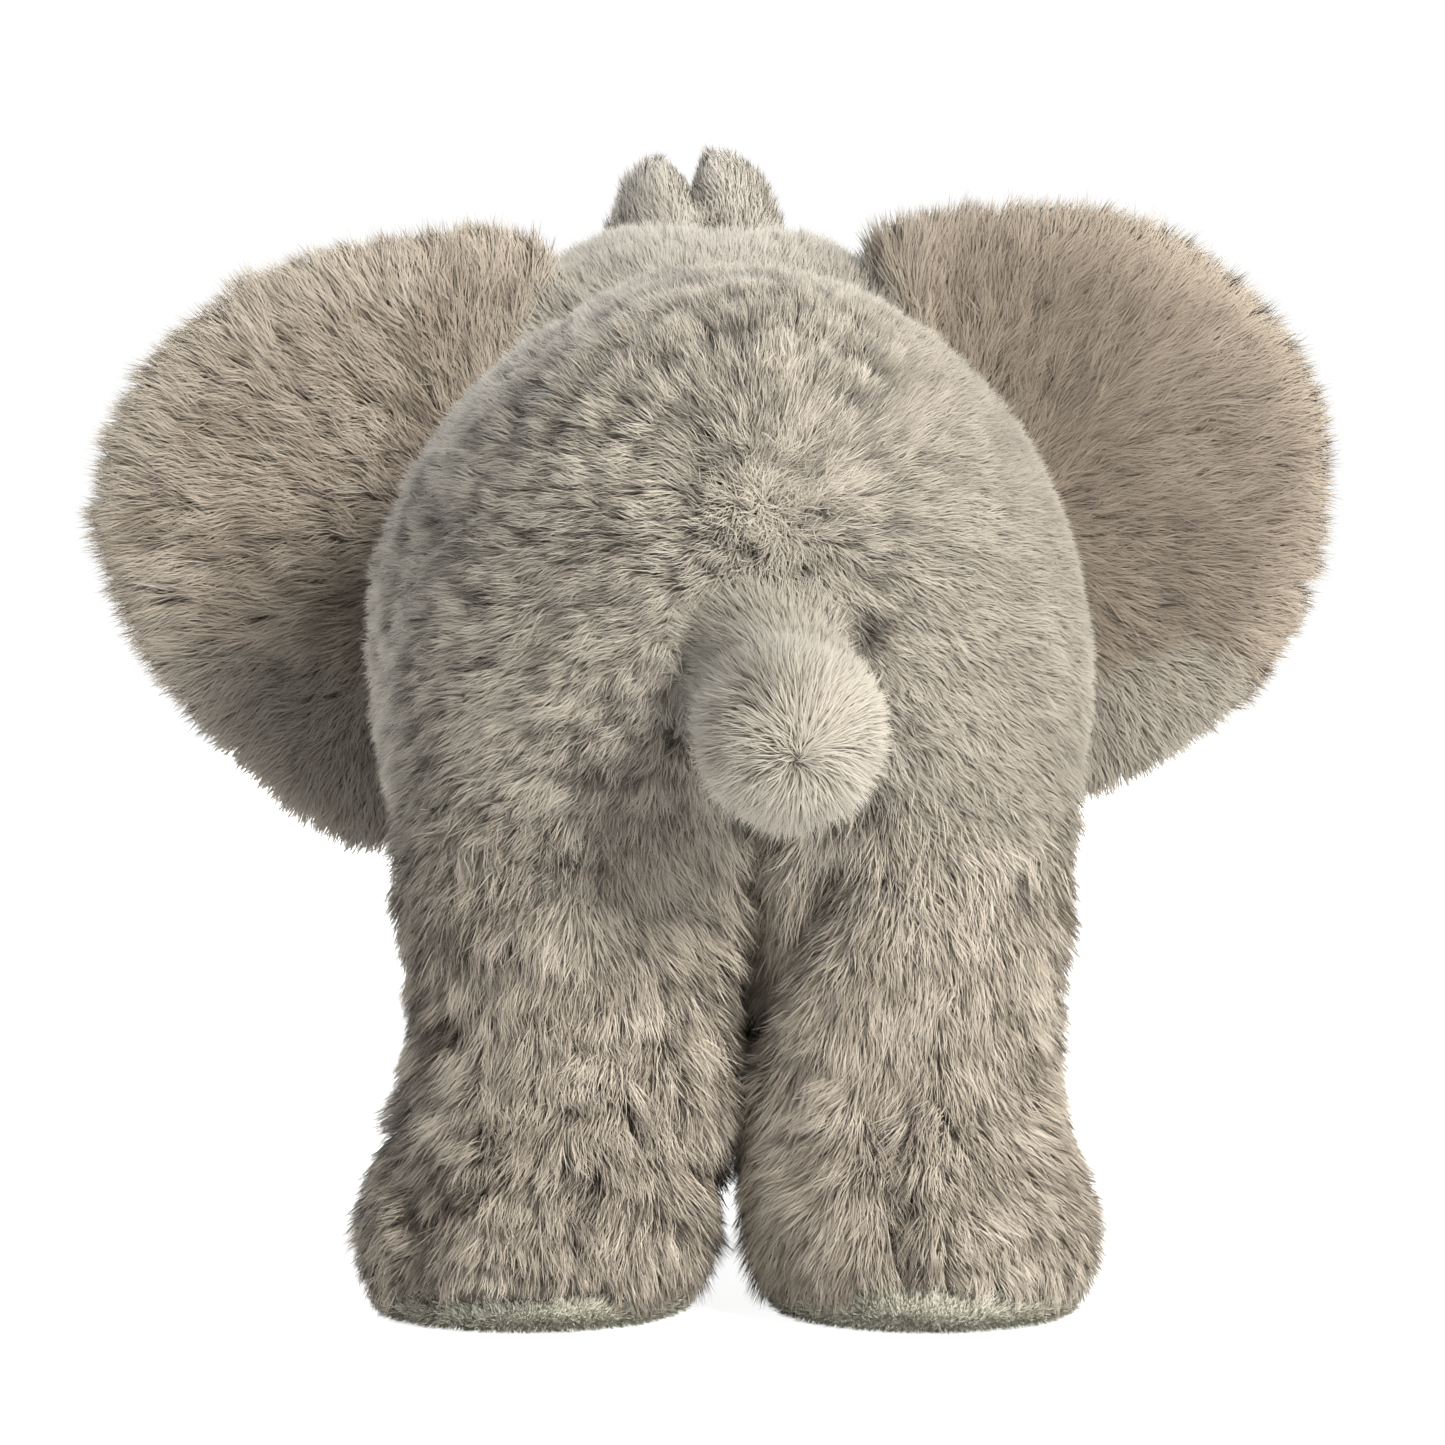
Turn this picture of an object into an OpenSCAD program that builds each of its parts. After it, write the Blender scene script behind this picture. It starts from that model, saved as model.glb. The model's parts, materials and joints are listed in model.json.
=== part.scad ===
// Standing stuffed elephant calf with spread ears and a raised trunk.
// It faces -Y. +Z is up, +X is its left. It stands on its four soles at z = 0.

/* [Body] */
// Length of the body from the chest to the rump
body_length = 140; // [120:1:160]
// Width of the body at its widest
body_width = 118; // [100:1:124]
// Height of the body from the belly to the back
body_height = 121; // [108:1:124]
// Height of the middle of the body over the floor
body_mid_z = 105; // [98:1:108]

/* [Head] */
// Length of the head from the neck to the face
head_length = 80; // [72:1:84]
// Width of the head across the cheeks
head_width = 86; // [76:1:90]
// Height of the head from the chin to the crown
head_height = 90; // [80:1:94]
// Height of the middle of the head over the floor
head_mid_z = 132; // [126:1:138]
// Radius of an eye
eye_r = 4.5; // [3.5:0.5:6]

/* [Ears] */
// Greatest thickness of an ear
ear_thickness = 13; // [9:1:15]
// Angle by which each ear is swept back at rest
ear_sweep = 8; // [0:1:12]
// Angle by which the left ear hangs and the right ear lifts
ear_roll = 2; // [0:1:4]

/* [Trunk] */
// Radius of the trunk at its root
trunk_root_r = 18.5; // [15:0.5:20]
// Radius of the trunk at its tip
trunk_tip_r = 18; // [14:0.5:20]
// Radius of the trunk halfway
trunk_mid_r = 16; // [13:0.5:18]

/* [Tail] */
// Greatest radius of the tail
tail_r = 14.5; // [10:0.5:16]
// Distance from the tail's root to the middle of its round end
tail_reach = 34; // [30:1:38]

/* [Legs] */
// Radius of a rear leg
rear_leg_r = 24; // [20:0.5:25]
// Radius of a front leg
front_leg_r = 21; // [18:0.5:22]
// Extra radius of the foot over its leg
foot_flare = 3; // [1:0.5:3]
// Height of the hip and shoulder pivots over the floor
hip_z = 66; // [62:1:70]

/* [Cloth and filling] */
// Thickness of the plush, backing and pile together
plush = 4; // [3:0.5:5]
// Thickness of a sole
sole_thick = 3; // [2:0.5:4]
// Clearance between the skin and the filling under it
filling_gap = 0.3; // [0.2:0.1:1]
// Clearance between pieces that move against each other
move_gap = 0.6; // [0.4:0.1:1]

/* [Hidden] */
$fn = 64;

// Colours of the plush, the filling and the trims
plush_colour = [0.62, 0.59, 0.54];
plush_light = [0.72, 0.69, 0.64];
sole_colour = [0.52, 0.51, 0.46];
filling_colour = [0.93, 0.92, 0.88];
pellet_colour = [0.80, 0.84, 0.86];
mouth_colour = [0.72, 0.52, 0.50];
eye_colour = [0.10, 0.06, 0.04];
washer_colour = [0.95, 0.95, 0.92];

// The whole toy is moved along Y by this, which puts the middle of its length at y = 0
centre_y = 21.8;

// ---- Places, before that move ----
body_mid_y = 10;
// Rise of the body's middle line towards its two ends
body_end_rise = 8;
// Latitudes of the neck opening and of the tail opening
neck_lat = -50;
tail_lat = 84;
// Roundness of the body and of the head: 1 is an ellipsoid, less is fuller
body_fullness = 0.6;
head_fullness = 0.8;

neck_pivot = [0, -56, 118];
neck_ball_r = 31;
// The head's neck passes through its skin's rear opening at this radius and height
neck_r = 20;
neck_z = 122;
neck_long = 20;
// The neck's ball is cut flat here, just behind the edge of the head's skin
neck_ball_from = -57;

head_mid_y = -88;
head_back_lat = 50;
head_front_lat = -62;
// Drop of the head's middle line towards the neck and the face
head_end_drop = 8;
// Half the width, as an angle, of the crown gusset and of the chin panel
gusset_half = 18;

trunk_pivot = [0, -121, 122];
trunk_ball_r = 14;
// The trunk's middle line, a Bezier curve in the plane x = 0, as y and z
trunk_route = [[-121, 122], [-146, 115], [-154, 150], [-144, 183]];

tail_pivot = [0, 78, 110];
tail_ball_r = 7.5;
tail_stem_r = 5;
// Radius and depth of the hollow in the rump that takes the tail's root
tail_hollow_r = 12;
tail_hollow_deep = tail_ball_r + 1;
// Angle of the tail below level, and its turn to the toy's right
tail_down = 33;
tail_aside = 4;

ear_root = [42.5, -74, 0];
// Half an ear's thickness at its sewn edge
ear_edge_half = 1.2;

rear_leg_at = [28, 55];
front_leg_at = [25, -30];
// Half the swing that the body's leg openings leave room for
leg_swing = 14;

eye_lat = -36;
eye_angle = 16;
eye_stem_r = 1.5;
eye_stem_long = 9;
// The eye's washer, and how far its back lies behind the skin
washer_r = 5.5;
washer_thick = 1.2;
washer_back = 2.7;

// ---- Surfaces: each returns a point for two parameters and an inset below the outer face ----

function body_point(lat, ang, inset) =
    let (round_part = pow(cos(lat), body_fullness))
    let (half_w = max(body_width / 2 * round_part - inset, 1))
    let (half_h = max(body_height / 2 * round_part - inset, 1))
    let (reach = body_length / 2 - inset)
    [
        half_w * cos(ang),
        body_mid_y + reach * sin(lat),
        body_mid_z + body_end_rise * sin(lat) * sin(lat) + half_h * sin(ang)
    ];

function head_point(lat, ang, inset) =
    let (round_part = pow(cos(lat), head_fullness))
    let (half_w = max(head_width / 2 * round_part - inset, 1))
    let (half_h = max(head_height / 2 * round_part - inset, 1))
    let (reach = head_length / 2 - inset)
    [
        half_w * cos(ang),
        head_mid_y + reach * sin(lat),
        head_mid_z - head_end_drop * sin(lat) * sin(lat) + half_h * sin(ang)
    ];

function bezier(p, t) =
    p[0] * pow(1 - t, 3) + 3 * p[1] * t * pow(1 - t, 2) + 3 * p[2] * t * t * (1 - t) + p[3] * pow(t, 3);

function bezier_slope(p, t) =
    3 * (p[1] - p[0]) * pow(1 - t, 2) + 6 * (p[2] - p[1]) * t * (1 - t) + 3 * (p[3] - p[2]) * t * t;

// Radius of the trunk at t, 0 at the root and 1 at the tip
function trunk_r(t) =
    trunk_root_r * (1 - t) * (1 - 2 * t) + 4 * trunk_mid_r * t * (1 - t) + trunk_tip_r * t * (2 * t - 1);

function trunk_point(t, ang, inset) =
    let (c = bezier(trunk_route, t))
    let (d = bezier_slope(trunk_route, t) / norm(bezier_slope(trunk_route, t)))
    let (r = trunk_r(t) - inset)
    [r * cos(ang), c[0] - r * sin(ang) * d[1], c[1] + r * sin(ang) * d[0]];

// Outline of the left ear, as x out from its root seam and z, run round from the root's foot
ear_outline = [
    [0, 98], [8, 78], [22, 65], [36, 69], [48, 84], [61, 101],
    [69, 120], [69, 139], [60, 157], [44, 172], [22, 177], [6, 170], [0, 155], [-1, 126]
];

function loop_at(list, i) = list[(i + len(list)) % len(list)];

// A smooth closed curve through the points of a list; s runs from 0 to the list's length
function smooth_loop(list, s) =
    let (i = floor(s), f = s - floor(s))
    let (a = loop_at(list, i - 1), b = loop_at(list, i))
    let (c = loop_at(list, i + 1), d = loop_at(list, i + 2))
    0.5 * (2 * b + (c - a) * f + (2 * a - 5 * b + 4 * c - d) * f * f + (3 * b - a - 3 * c + d) * f * f * f);

ear_middle = [30, 122];

// A point of the left ear. out is 0 at its middle and 1 at its edge, side is 1 at the back
// face and -1 at the front face, and inset is the depth below that face
function ear_point(out, turn, side, inset) =
    let (rim = smooth_loop(ear_outline, turn * len(ear_outline)))
    let (span = rim - ear_middle)
    let (p = ear_middle + span * out * (norm(span) - inset) / norm(span))
    let (crown = sqrt(1 - pow(out, 4)))
    [p[0], side * (max(ear_thickness / 2 - inset, 0.1) * crown + ear_edge_half * (1 - crown)), p[1]];

// ---- Solids built from grids of points ----

// Triangles between two rows of n points that start at a and b
function strip(a, b, n) =
    [for (i = [0 : n - 2]) each [[a + i, a + i + 1, b + i + 1], [a + i, b + i + 1, b + i]]];

function flip(faces) = [for (f = faces) [f[2], f[1], f[0]]];

// A thick panel between two grids of points, each a list of rows
module thick_panel(outer, inner) {
    rows = len(outer);
    cols = len(outer[0]);
    count = rows * cols;
    points = [for (row = outer) each row, for (row = inner) each row];
    face_out = [for (r = [0 : rows - 2]) each strip(r * cols, (r + 1) * cols, cols)];
    face_in = flip([for (f = face_out) [for (v = f) v + count]]);
    first_row = strip(count, 0, cols);
    last_row = strip((rows - 1) * cols, (rows - 1) * cols + count, cols);
    sides = [for (r = [0 : rows - 2]) each [
        [r * cols, (r + 1) * cols, (r + 1) * cols + count],
        [r * cols, (r + 1) * cols + count, r * cols + count],
        [(r + 1) * cols - 1, (r + 2) * cols - 1 + count, (r + 2) * cols - 1],
        [(r + 1) * cols - 1, (r + 1) * cols - 1 + count, (r + 2) * cols - 1 + count]
    ]];
    polyhedron(points, concat(face_out, face_in, first_row, last_row, sides), convexity = 6);
}

// A solid from closed rings of points, with a flat or pointed cap at each end
module ring_solid(rings) {
    n = len(rings[0]);
    last = len(rings) - 1;
    points = concat([for (ring = rings) each ring], [mean(rings[0]), mean(rings[last])]);
    start_hub = n * (last + 1);
    walls = [for (r = [0 : last - 1], i = [0 : n - 1]) each [
        [r * n + i, r * n + (i + 1) % n, (r + 1) * n + (i + 1) % n],
        [r * n + i, (r + 1) * n + (i + 1) % n, (r + 1) * n + i]
    ]];
    start_cap = [for (i = [0 : n - 1]) [start_hub, (i + 1) % n, i]];
    end_cap = [for (i = [0 : n - 1]) [start_hub + 1, last * n + i, last * n + (i + 1) % n]];
    polyhedron(points, concat(walls, start_cap, end_cap), convexity = 4);
}

function mean(list) = [for (v = list) 1] * list / len(list);

function spread(from, to, steps) = [for (i = [0 : steps]) from + (to - from) * i / steps];

// ---- Body ----

module body_skin_part(ang_from, ang_to, steps) {
    lats = spread(neck_lat, tail_lat, 18);
    angs = spread(ang_from, ang_to, steps);
    difference() {
        thick_panel(
            [for (lat = lats) [for (a = angs) body_point(lat, a, 0)]],
            [for (lat = lats) [for (a = angs) body_point(lat, a, plush)]]
        );
        leg_openings(0);
    }
}

// Room for one leg: a ball round its pivot, and a wedge under it for the swing
module leg_opening(at, r, extra) {
    ball = r + move_gap + extra;
    deep = hip_z - 20;
    start = 2;
    widen = deep * tan(leg_swing);
    translate([at[0], at[1], hip_z]) {
        sphere(r = ball + 0.4, $fn = 32);
        translate([-ball, 0, 0]) rotate([90, 0, 90]) linear_extrude(2 * ball)
            polygon([[-ball, start], [ball, start], [ball + widen, -deep], [-ball - widen, -deep]]);
    }
}

module leg_openings(extra) {
    for (side = [-1, 1]) {
        leg_opening([side * rear_leg_at[0], rear_leg_at[1]], rear_leg_r, extra);
        leg_opening([side * front_leg_at[0], front_leg_at[1]], front_leg_r, extra);
    }
}

belly_seam = -52;
// Height of the flat bed on which the filling lies over the pellet pouch, and its ends
pouch_top = 64;
pouch_front = -20;
pouch_back = 32;
// Half the width of the gap left in the filling between the legs
crotch_half = 10;
// A length greater than any of the body's, for cutting through it
through = 200;

module body_core() {
    lats = spread(neck_lat, tail_lat, 16);
    ring_solid([for (lat = lats) [for (k = [0 : 31]) body_point(lat, k * 360 / 32, plush + filling_gap)]]);
}

module body_panel_left() { color(plush_colour) place() body_skin_part(belly_seam, 90, 12); }
module body_panel_right() { color(plush_colour) place() body_skin_part(90, 180 - belly_seam, 12); }
module belly_panel() { color(plush_light) place() body_skin_part(-180 - belly_seam, belly_seam, 7); }

module body_stuffing() {
    color(filling_colour) place() difference() {
        body_core();
        leg_openings(0);
        translate(neck_pivot) sphere(r = neck_ball_r + move_gap, $fn = 32);
        translate(tail_pivot) rotate([-90, 0, 0]) translate([0, 0, -tail_hollow_deep])
            cylinder(r = tail_hollow_r, h = through);
        translate([-through / 2, pouch_front, 0]) cube([through, pouch_back - pouch_front, pouch_top]);
        translate([-crotch_half, -through / 2, 0]) cube([2 * crotch_half, through, pouch_top]);
    }
}

module body_pellet_pouch() {
    deep = pouch_back - pouch_front - 2 * filling_gap;
    color(pellet_colour) place() intersection() {
        difference() {
            body_core();
            leg_openings(1);
        }
        translate([-through / 2, pouch_front + filling_gap, 0])
            cube([through, deep, pouch_top - filling_gap]);
    }
}

// ---- Head ----

module head_skin_part(ang_from, ang_to, steps) {
    lats = spread(head_back_lat, head_front_lat, 14);
    angs = spread(ang_from, ang_to, steps);
    thick_panel(
        [for (lat = lats) [for (a = angs) head_point(lat, a, 0)]],
        [for (lat = lats) [for (a = angs) head_point(lat, a, plush)]]
    );
}

module head_core(inset) {
    lats = spread(head_back_lat, head_front_lat, 14);
    ring_solid([for (lat = lats) [for (k = [0 : 27]) head_point(lat, -k * 360 / 28, inset)]]);
}

// Puts its children on the head's outer face at an eye, with +Z pointing out of the head
module at_eye(side) {
    p = head_point(eye_lat, eye_angle, 0);
    out = [
        cos(eye_angle) / head_width * 2,
        sin(eye_lat) / head_length * 2 / pow(cos(eye_lat), head_fullness),
        sin(eye_angle) / head_height * 2
    ];
    turn = atan2(out[1], out[0]);
    lean = atan2(norm([out[0], out[1]]), out[2]);
    scale([side, 1, 1]) translate(p) rotate([0, 0, turn]) rotate([0, lean, 0]) children();
}

module eye_hole(side) { at_eye(side) cylinder(r = eye_stem_r + 0.1, h = 20, center = true); }

module head_panel_left() {
    color(plush_light) place() difference() {
        head_skin_part(90 - gusset_half, -90 + gusset_half, 12);
        eye_hole(1);
    }
}

module head_panel_right() {
    color(plush_light) place() difference() {
        head_skin_part(270 - gusset_half, 90 + gusset_half, 12);
        eye_hole(-1);
    }
}

module crown_gusset() {
    color(plush_light) place() head_skin_part(90 + gusset_half, 90 - gusset_half, 4);
}

module chin_panel() {
    color(plush_light) place() head_skin_part(-90 + gusset_half, -90 - gusset_half, 4);
}

module head_stuffing() {
    color(filling_colour) place() difference() {
        union() {
            head_core(plush + filling_gap);
            translate([0, neck_pivot[1], neck_z]) rotate([90, 0, 0])
                cylinder(r = neck_r, h = neck_long);
            intersection() {
                translate(neck_pivot) sphere(r = neck_ball_r);
                translate([-through / 2, neck_ball_from, 0]) cube(through);
            }
        }
        translate(trunk_pivot) sphere(r = trunk_ball_r + move_gap);
        for (side = [-1, 1]) at_eye(side) translate([0, 0, -plush - washer_r])
            cylinder(r = washer_r + 0.5, h = 2 * washer_r);
    }
}

// Middle and half sizes of the lower lip
lip_at = [0, -110, 88];
lip_size = [15, 14, 8];

module lower_lip() {
    rings = [for (lat = spread(-80, 80, 10)) [for (k = [0 : 23]) [
        lip_at[0] + lip_size[0] * cos(lat) * cos(k * 15),
        lip_at[1] - lip_size[1] * sin(lat),
        lip_at[2] - lip_size[2] * cos(lat) * sin(k * 15)
    ]]];
    color(plush_light) place() difference() {
        ring_solid(rings);
        head_core(-filling_gap);
    }
}

// The round of cloth that lines the mouth lies on the lip, under the trunk
mouth_at = [0, -119.5, 95];
mouth_r = 5.5;
mouth_thick = 1.4;

module mouth_lining() {
    color(mouth_colour) place() difference() {
        translate(mouth_at) cylinder(r = mouth_r, h = mouth_thick);
        head_core(-filling_gap);
    }
}

// A domed eye with its stem, which passes through the skin
module eye(side) {
    dome_r = eye_r * 1.12;
    lift = 0.4;
    color(eye_colour) place() at_eye(side) {
        translate([0, 0, lift]) intersection() {
            translate([0, 0, eye_r - dome_r]) sphere(r = dome_r);
            cylinder(r = eye_r, h = eye_r);
        }
        translate([0, 0, -eye_stem_long]) cylinder(r = eye_stem_r, h = eye_stem_long + 2 * lift);
    }
}

// The washer that holds an eye's stem behind the skin
module eye_washer(side) {
    bore_r = eye_stem_r + 0.02;
    color(washer_colour) place() at_eye(side) translate([0, 0, -plush - washer_back]) difference() {
        cylinder(r = washer_r, h = washer_thick);
        translate([0, 0, -washer_thick]) cylinder(r = bore_r, h = 3 * washer_thick);
    }
}

module eye_left() { eye(1); }
module eye_right() { eye(-1); }
module eye_washer_left() { eye_washer(1); }
module eye_washer_right() { eye_washer(-1); }

// ---- Trunk ----

// The skin begins where the trunk comes out of the head
trunk_skin_from = 0.16;
trunk_skin_to = 0.97;

module trunk_skin_part(ang_from, ang_to) {
    ts = spread(trunk_skin_from, trunk_skin_to, 12);
    angs = spread(ang_from, ang_to, 12);
    thick_panel(
        [for (t = ts) [for (a = angs) trunk_point(t, a, 0)]],
        [for (t = ts) [for (a = angs) trunk_point(t, a, plush)]]
    );
}

module trunk_front_panel() { color(plush_light) place() trunk_skin_part(360, 180); }
module trunk_under_panel() { color(plush_light) place() trunk_skin_part(180, 0); }

module trunk_stuffing() {
    ts = spread(trunk_skin_from, trunk_skin_to, 12);
    inset = plush + filling_gap;
    color(filling_colour) place() union() {
        ring_solid([for (t = ts) [for (k = [0 : 23]) trunk_point(t, k * 15, inset)]]);
        translate(trunk_pivot) sphere(r = trunk_ball_r);
    }
}

// How far the middle of the trunk's round end lies below its skin's edge
tip_sunk = 4.9;
// Width of the cleft in the trunk's end, and the height of its floor over the skin's edge
cleft_wide = 4;
cleft_floor = 7;

// The rounded end of the trunk, with two lobes and the cleft between them
module nostril_patch() {
    tip = bezier(trunk_route, trunk_skin_to);
    slope = bezier_slope(trunk_route, trunk_skin_to);
    lean = atan2(slope[0], slope[1]);
    color(mouth_colour) place() translate([0, tip[0], tip[1]]) rotate([-lean, 0, 0])
        translate([0, 0, filling_gap]) difference() {
            intersection() {
                translate([0, 0, -tip_sunk]) sphere(r = trunk_tip_r);
                cylinder(r = trunk_tip_r, h = trunk_tip_r);
            }
            translate([-cleft_wide / 2, -trunk_tip_r, cleft_floor])
                cube([cleft_wide, 2 * trunk_tip_r, trunk_tip_r]);
        }
}

// ---- Ears ----

ear_turns = spread(0, 1, 36);
ear_outs = [0.02, 0.3, 0.55, 0.75, 0.9, 1];
// Thickness of an ear panel, down to the batting between the two
ear_panel_thick = 3.2;
// Half the least gap between the two panels
ear_level = 0.15;

// Puts a left ear's children at its root, swept back and rolled. side -1 makes the right ear
module at_ear(side) {
    place() scale([side, 1, 1]) translate(ear_root) rotate([0, 0, ear_sweep])
        translate([0, 0, ear_middle[1]]) rotate([0, side * ear_roll, 0]) translate([0, 0, -ear_middle[1]])
            children();
}

// One face of an ear, from its outer side down to the batting
module ear_panel(side, face) {
    outer = [for (out = ear_outs) [for (t = ear_turns) ear_point(out, t, face, 0)]];
    thick = ear_panel_thick - 0.1;
    under = [for (out = ear_outs) [for (t = ear_turns) ear_point(out, t, face, thick)]];
    level = [for (row = under) [for (p = row) [p[0], face * max(abs(p[1]), ear_level), p[2]]]];
    colour = face > 0 ? plush_colour : plush_light;
    color(colour) at_ear(side) {
        if (face > 0) ear_half(outer, level);
        if (face < 0) ear_half(level, outer);
    }
}

// A closed solid between an upper and a lower sheet, each a list of rings from the middle out
module ear_half(upper, lower) {
    rings = concat(upper, [for (i = [len(lower) - 1 : -1 : 0]) lower[i]]);
    ring_solid([for (ring = rings) [for (i = [0 : len(ring) - 2]) ring[i]]]);
}

module ear_batting(side) {
    deep = ear_panel_thick + 0.1;
    upper = [for (out = ear_outs) [for (t = ear_turns) ear_point(out, t, 1, deep)]];
    lower = [for (out = ear_outs) [for (t = ear_turns) ear_point(out, t, -1, deep)]];
    color(filling_colour) at_ear(side) ear_half(upper, lower);
}

module ear_back_left() { ear_panel(1, 1); }
module ear_front_left() { ear_panel(1, -1); }
module ear_batting_left() { ear_batting(1); }
module ear_back_right() { ear_panel(-1, 1); }
module ear_front_right() { ear_panel(-1, -1); }
module ear_batting_right() { ear_batting(-1); }

// ---- Tail ----

// The tail's root is a round that narrows to the stem, this far from the pivot
tail_root_r = 11;
tail_root_at = 18.5;
tail_full_at = 26;
tail_stem_long = 16;

// Outline of the tail, as radius and distance along it from its pivot
function tail_outline(inset) =
    let (r = tail_r - inset)
    let (root_r = tail_root_r - inset)
    concat(
        [for (a = [-90 : 10 : 0]) [root_r * cos(a), tail_root_at + root_r * sin(a)]],
        [[r, tail_full_at], [r, tail_reach]],
        [for (a = [10 : 10 : 90]) [r * cos(a), tail_reach + r * sin(a)]]
    );

module at_tail() {
    place() translate(tail_pivot) rotate([0, 0, tail_aside]) rotate([-90 - tail_down, 0, 0]) children();
}

module tail_skin() {
    color(plush_light) at_tail() rotate_extrude() difference() {
        polygon(tail_outline(0));
        polygon(tail_outline(plush));
        square([tail_stem_r + filling_gap, tail_stem_long]);
    }
}

module tail_stuffing() {
    color(filling_colour) at_tail() union() {
        rotate_extrude() polygon(tail_outline(plush + filling_gap));
        sphere(r = tail_ball_r);
        cylinder(r = tail_stem_r, h = tail_stem_long);
    }
}

// ---- Legs ----

// A foot's rounding at the floor: its width in the radius, and the height where it ends
toe_round = 7;
toe_top = 11;
// Heights up a leg at which the foot narrows into the shin
foot_levels = [18, 26, 38, 46];

// Outline of a leg's skin, as radius and height: the rounded foot, the shin and the domed top
function leg_outline(r, inset) =
    let (foot = r + foot_flare - inset)
    let (dome = r - inset)
    let (toe = foot - toe_round)
    let (rise = toe_top - inset / 2)
    concat(
        [[0, inset], [r - toe_round - inset, inset]],
        [for (a = [-70 : 10 : 0]) [toe + toe_round * cos(a), toe_top + inset / 2 + rise * sin(a)]],
        [[foot, foot_levels[0]], [foot - 1, foot_levels[1]]],
        [[dome + 0.5, foot_levels[2]], [dome, foot_levels[3]]],
        [for (a = [0 : 10 : 80]) [dome * cos(a), hip_z + dome * sin(a)]],
        [[0, hip_z + dome]]
    );

module at_leg(side, at) { place() translate([side * at[0], at[1], 0]) children(); }

// Height of the top of a foot's pellet bag
pellet_top = 17;

module leg_skin(side, at, r) {
    color(plush_colour) at_leg(side, at) rotate_extrude() difference() {
        polygon(leg_outline(r, 0));
        polygon(leg_outline(r, plush));
        square([sole_r(r) + filling_gap, sole_thick + filling_gap + plush]);
    }
}

function sole_r(r) = r - toe_round;

// A round sole with a small bevel at the floor
module sole(side, at, r) {
    edge = sole_r(r);
    bevel = 1;
    color(sole_colour) at_leg(side, at) rotate_extrude()
        polygon([[0, 0], [edge - bevel, 0], [edge, bevel], [edge, sole_thick], [0, sole_thick]]);
}

module foot_pellets(side, at, r) {
    color(pellet_colour) at_leg(side, at) rotate_extrude() intersection() {
        polygon(leg_outline(r, plush + filling_gap));
        square([r * 2, pellet_top]);
    }
}

module leg_stuffing(side, at, r) {
    color(filling_colour) at_leg(side, at) rotate_extrude() intersection() {
        polygon(leg_outline(r, plush + filling_gap));
        translate([0, pellet_top + filling_gap]) square([r * 2, hip_z + r]);
    }
}

module leg_skin_rear_left() { leg_skin(1, rear_leg_at, rear_leg_r); }
module leg_skin_rear_right() { leg_skin(-1, rear_leg_at, rear_leg_r); }
module leg_skin_front_left() { leg_skin(1, front_leg_at, front_leg_r); }
module leg_skin_front_right() { leg_skin(-1, front_leg_at, front_leg_r); }
module leg_stuffing_rear_left() { leg_stuffing(1, rear_leg_at, rear_leg_r); }
module leg_stuffing_rear_right() { leg_stuffing(-1, rear_leg_at, rear_leg_r); }
module leg_stuffing_front_left() { leg_stuffing(1, front_leg_at, front_leg_r); }
module leg_stuffing_front_right() { leg_stuffing(-1, front_leg_at, front_leg_r); }
module sole_rear_left() { sole(1, rear_leg_at, rear_leg_r); }
module sole_rear_right() { sole(-1, rear_leg_at, rear_leg_r); }
module sole_front_left() { sole(1, front_leg_at, front_leg_r); }
module sole_front_right() { sole(-1, front_leg_at, front_leg_r); }
module foot_pellets_rear_left() { foot_pellets(1, rear_leg_at, rear_leg_r); }
module foot_pellets_rear_right() { foot_pellets(-1, rear_leg_at, rear_leg_r); }
module foot_pellets_front_left() { foot_pellets(1, front_leg_at, front_leg_r); }
module foot_pellets_front_right() { foot_pellets(-1, front_leg_at, front_leg_r); }

module place() { translate([0, centre_y, 0]) children(); }

body_panel_left();
body_panel_right();
belly_panel();
body_stuffing();
body_pellet_pouch();
head_panel_left();
head_panel_right();
crown_gusset();
chin_panel();
head_stuffing();
lower_lip();
mouth_lining();
eye_left();
eye_right();
eye_washer_left();
eye_washer_right();
trunk_front_panel();
trunk_under_panel();
trunk_stuffing();
nostril_patch();
ear_back_left();
ear_front_left();
ear_batting_left();
ear_back_right();
ear_front_right();
ear_batting_right();
tail_skin();
tail_stuffing();
leg_skin_rear_left();
leg_skin_rear_right();
leg_skin_front_left();
leg_skin_front_right();
leg_stuffing_rear_left();
leg_stuffing_rear_right();
leg_stuffing_front_left();
leg_stuffing_front_right();
sole_rear_left();
sole_rear_right();
sole_front_left();
sole_front_right();
foot_pellets_rear_left();
foot_pellets_rear_right();
foot_pellets_front_left();
foot_pellets_front_right();
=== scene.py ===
import json
import math
from collections import namedtuple

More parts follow.
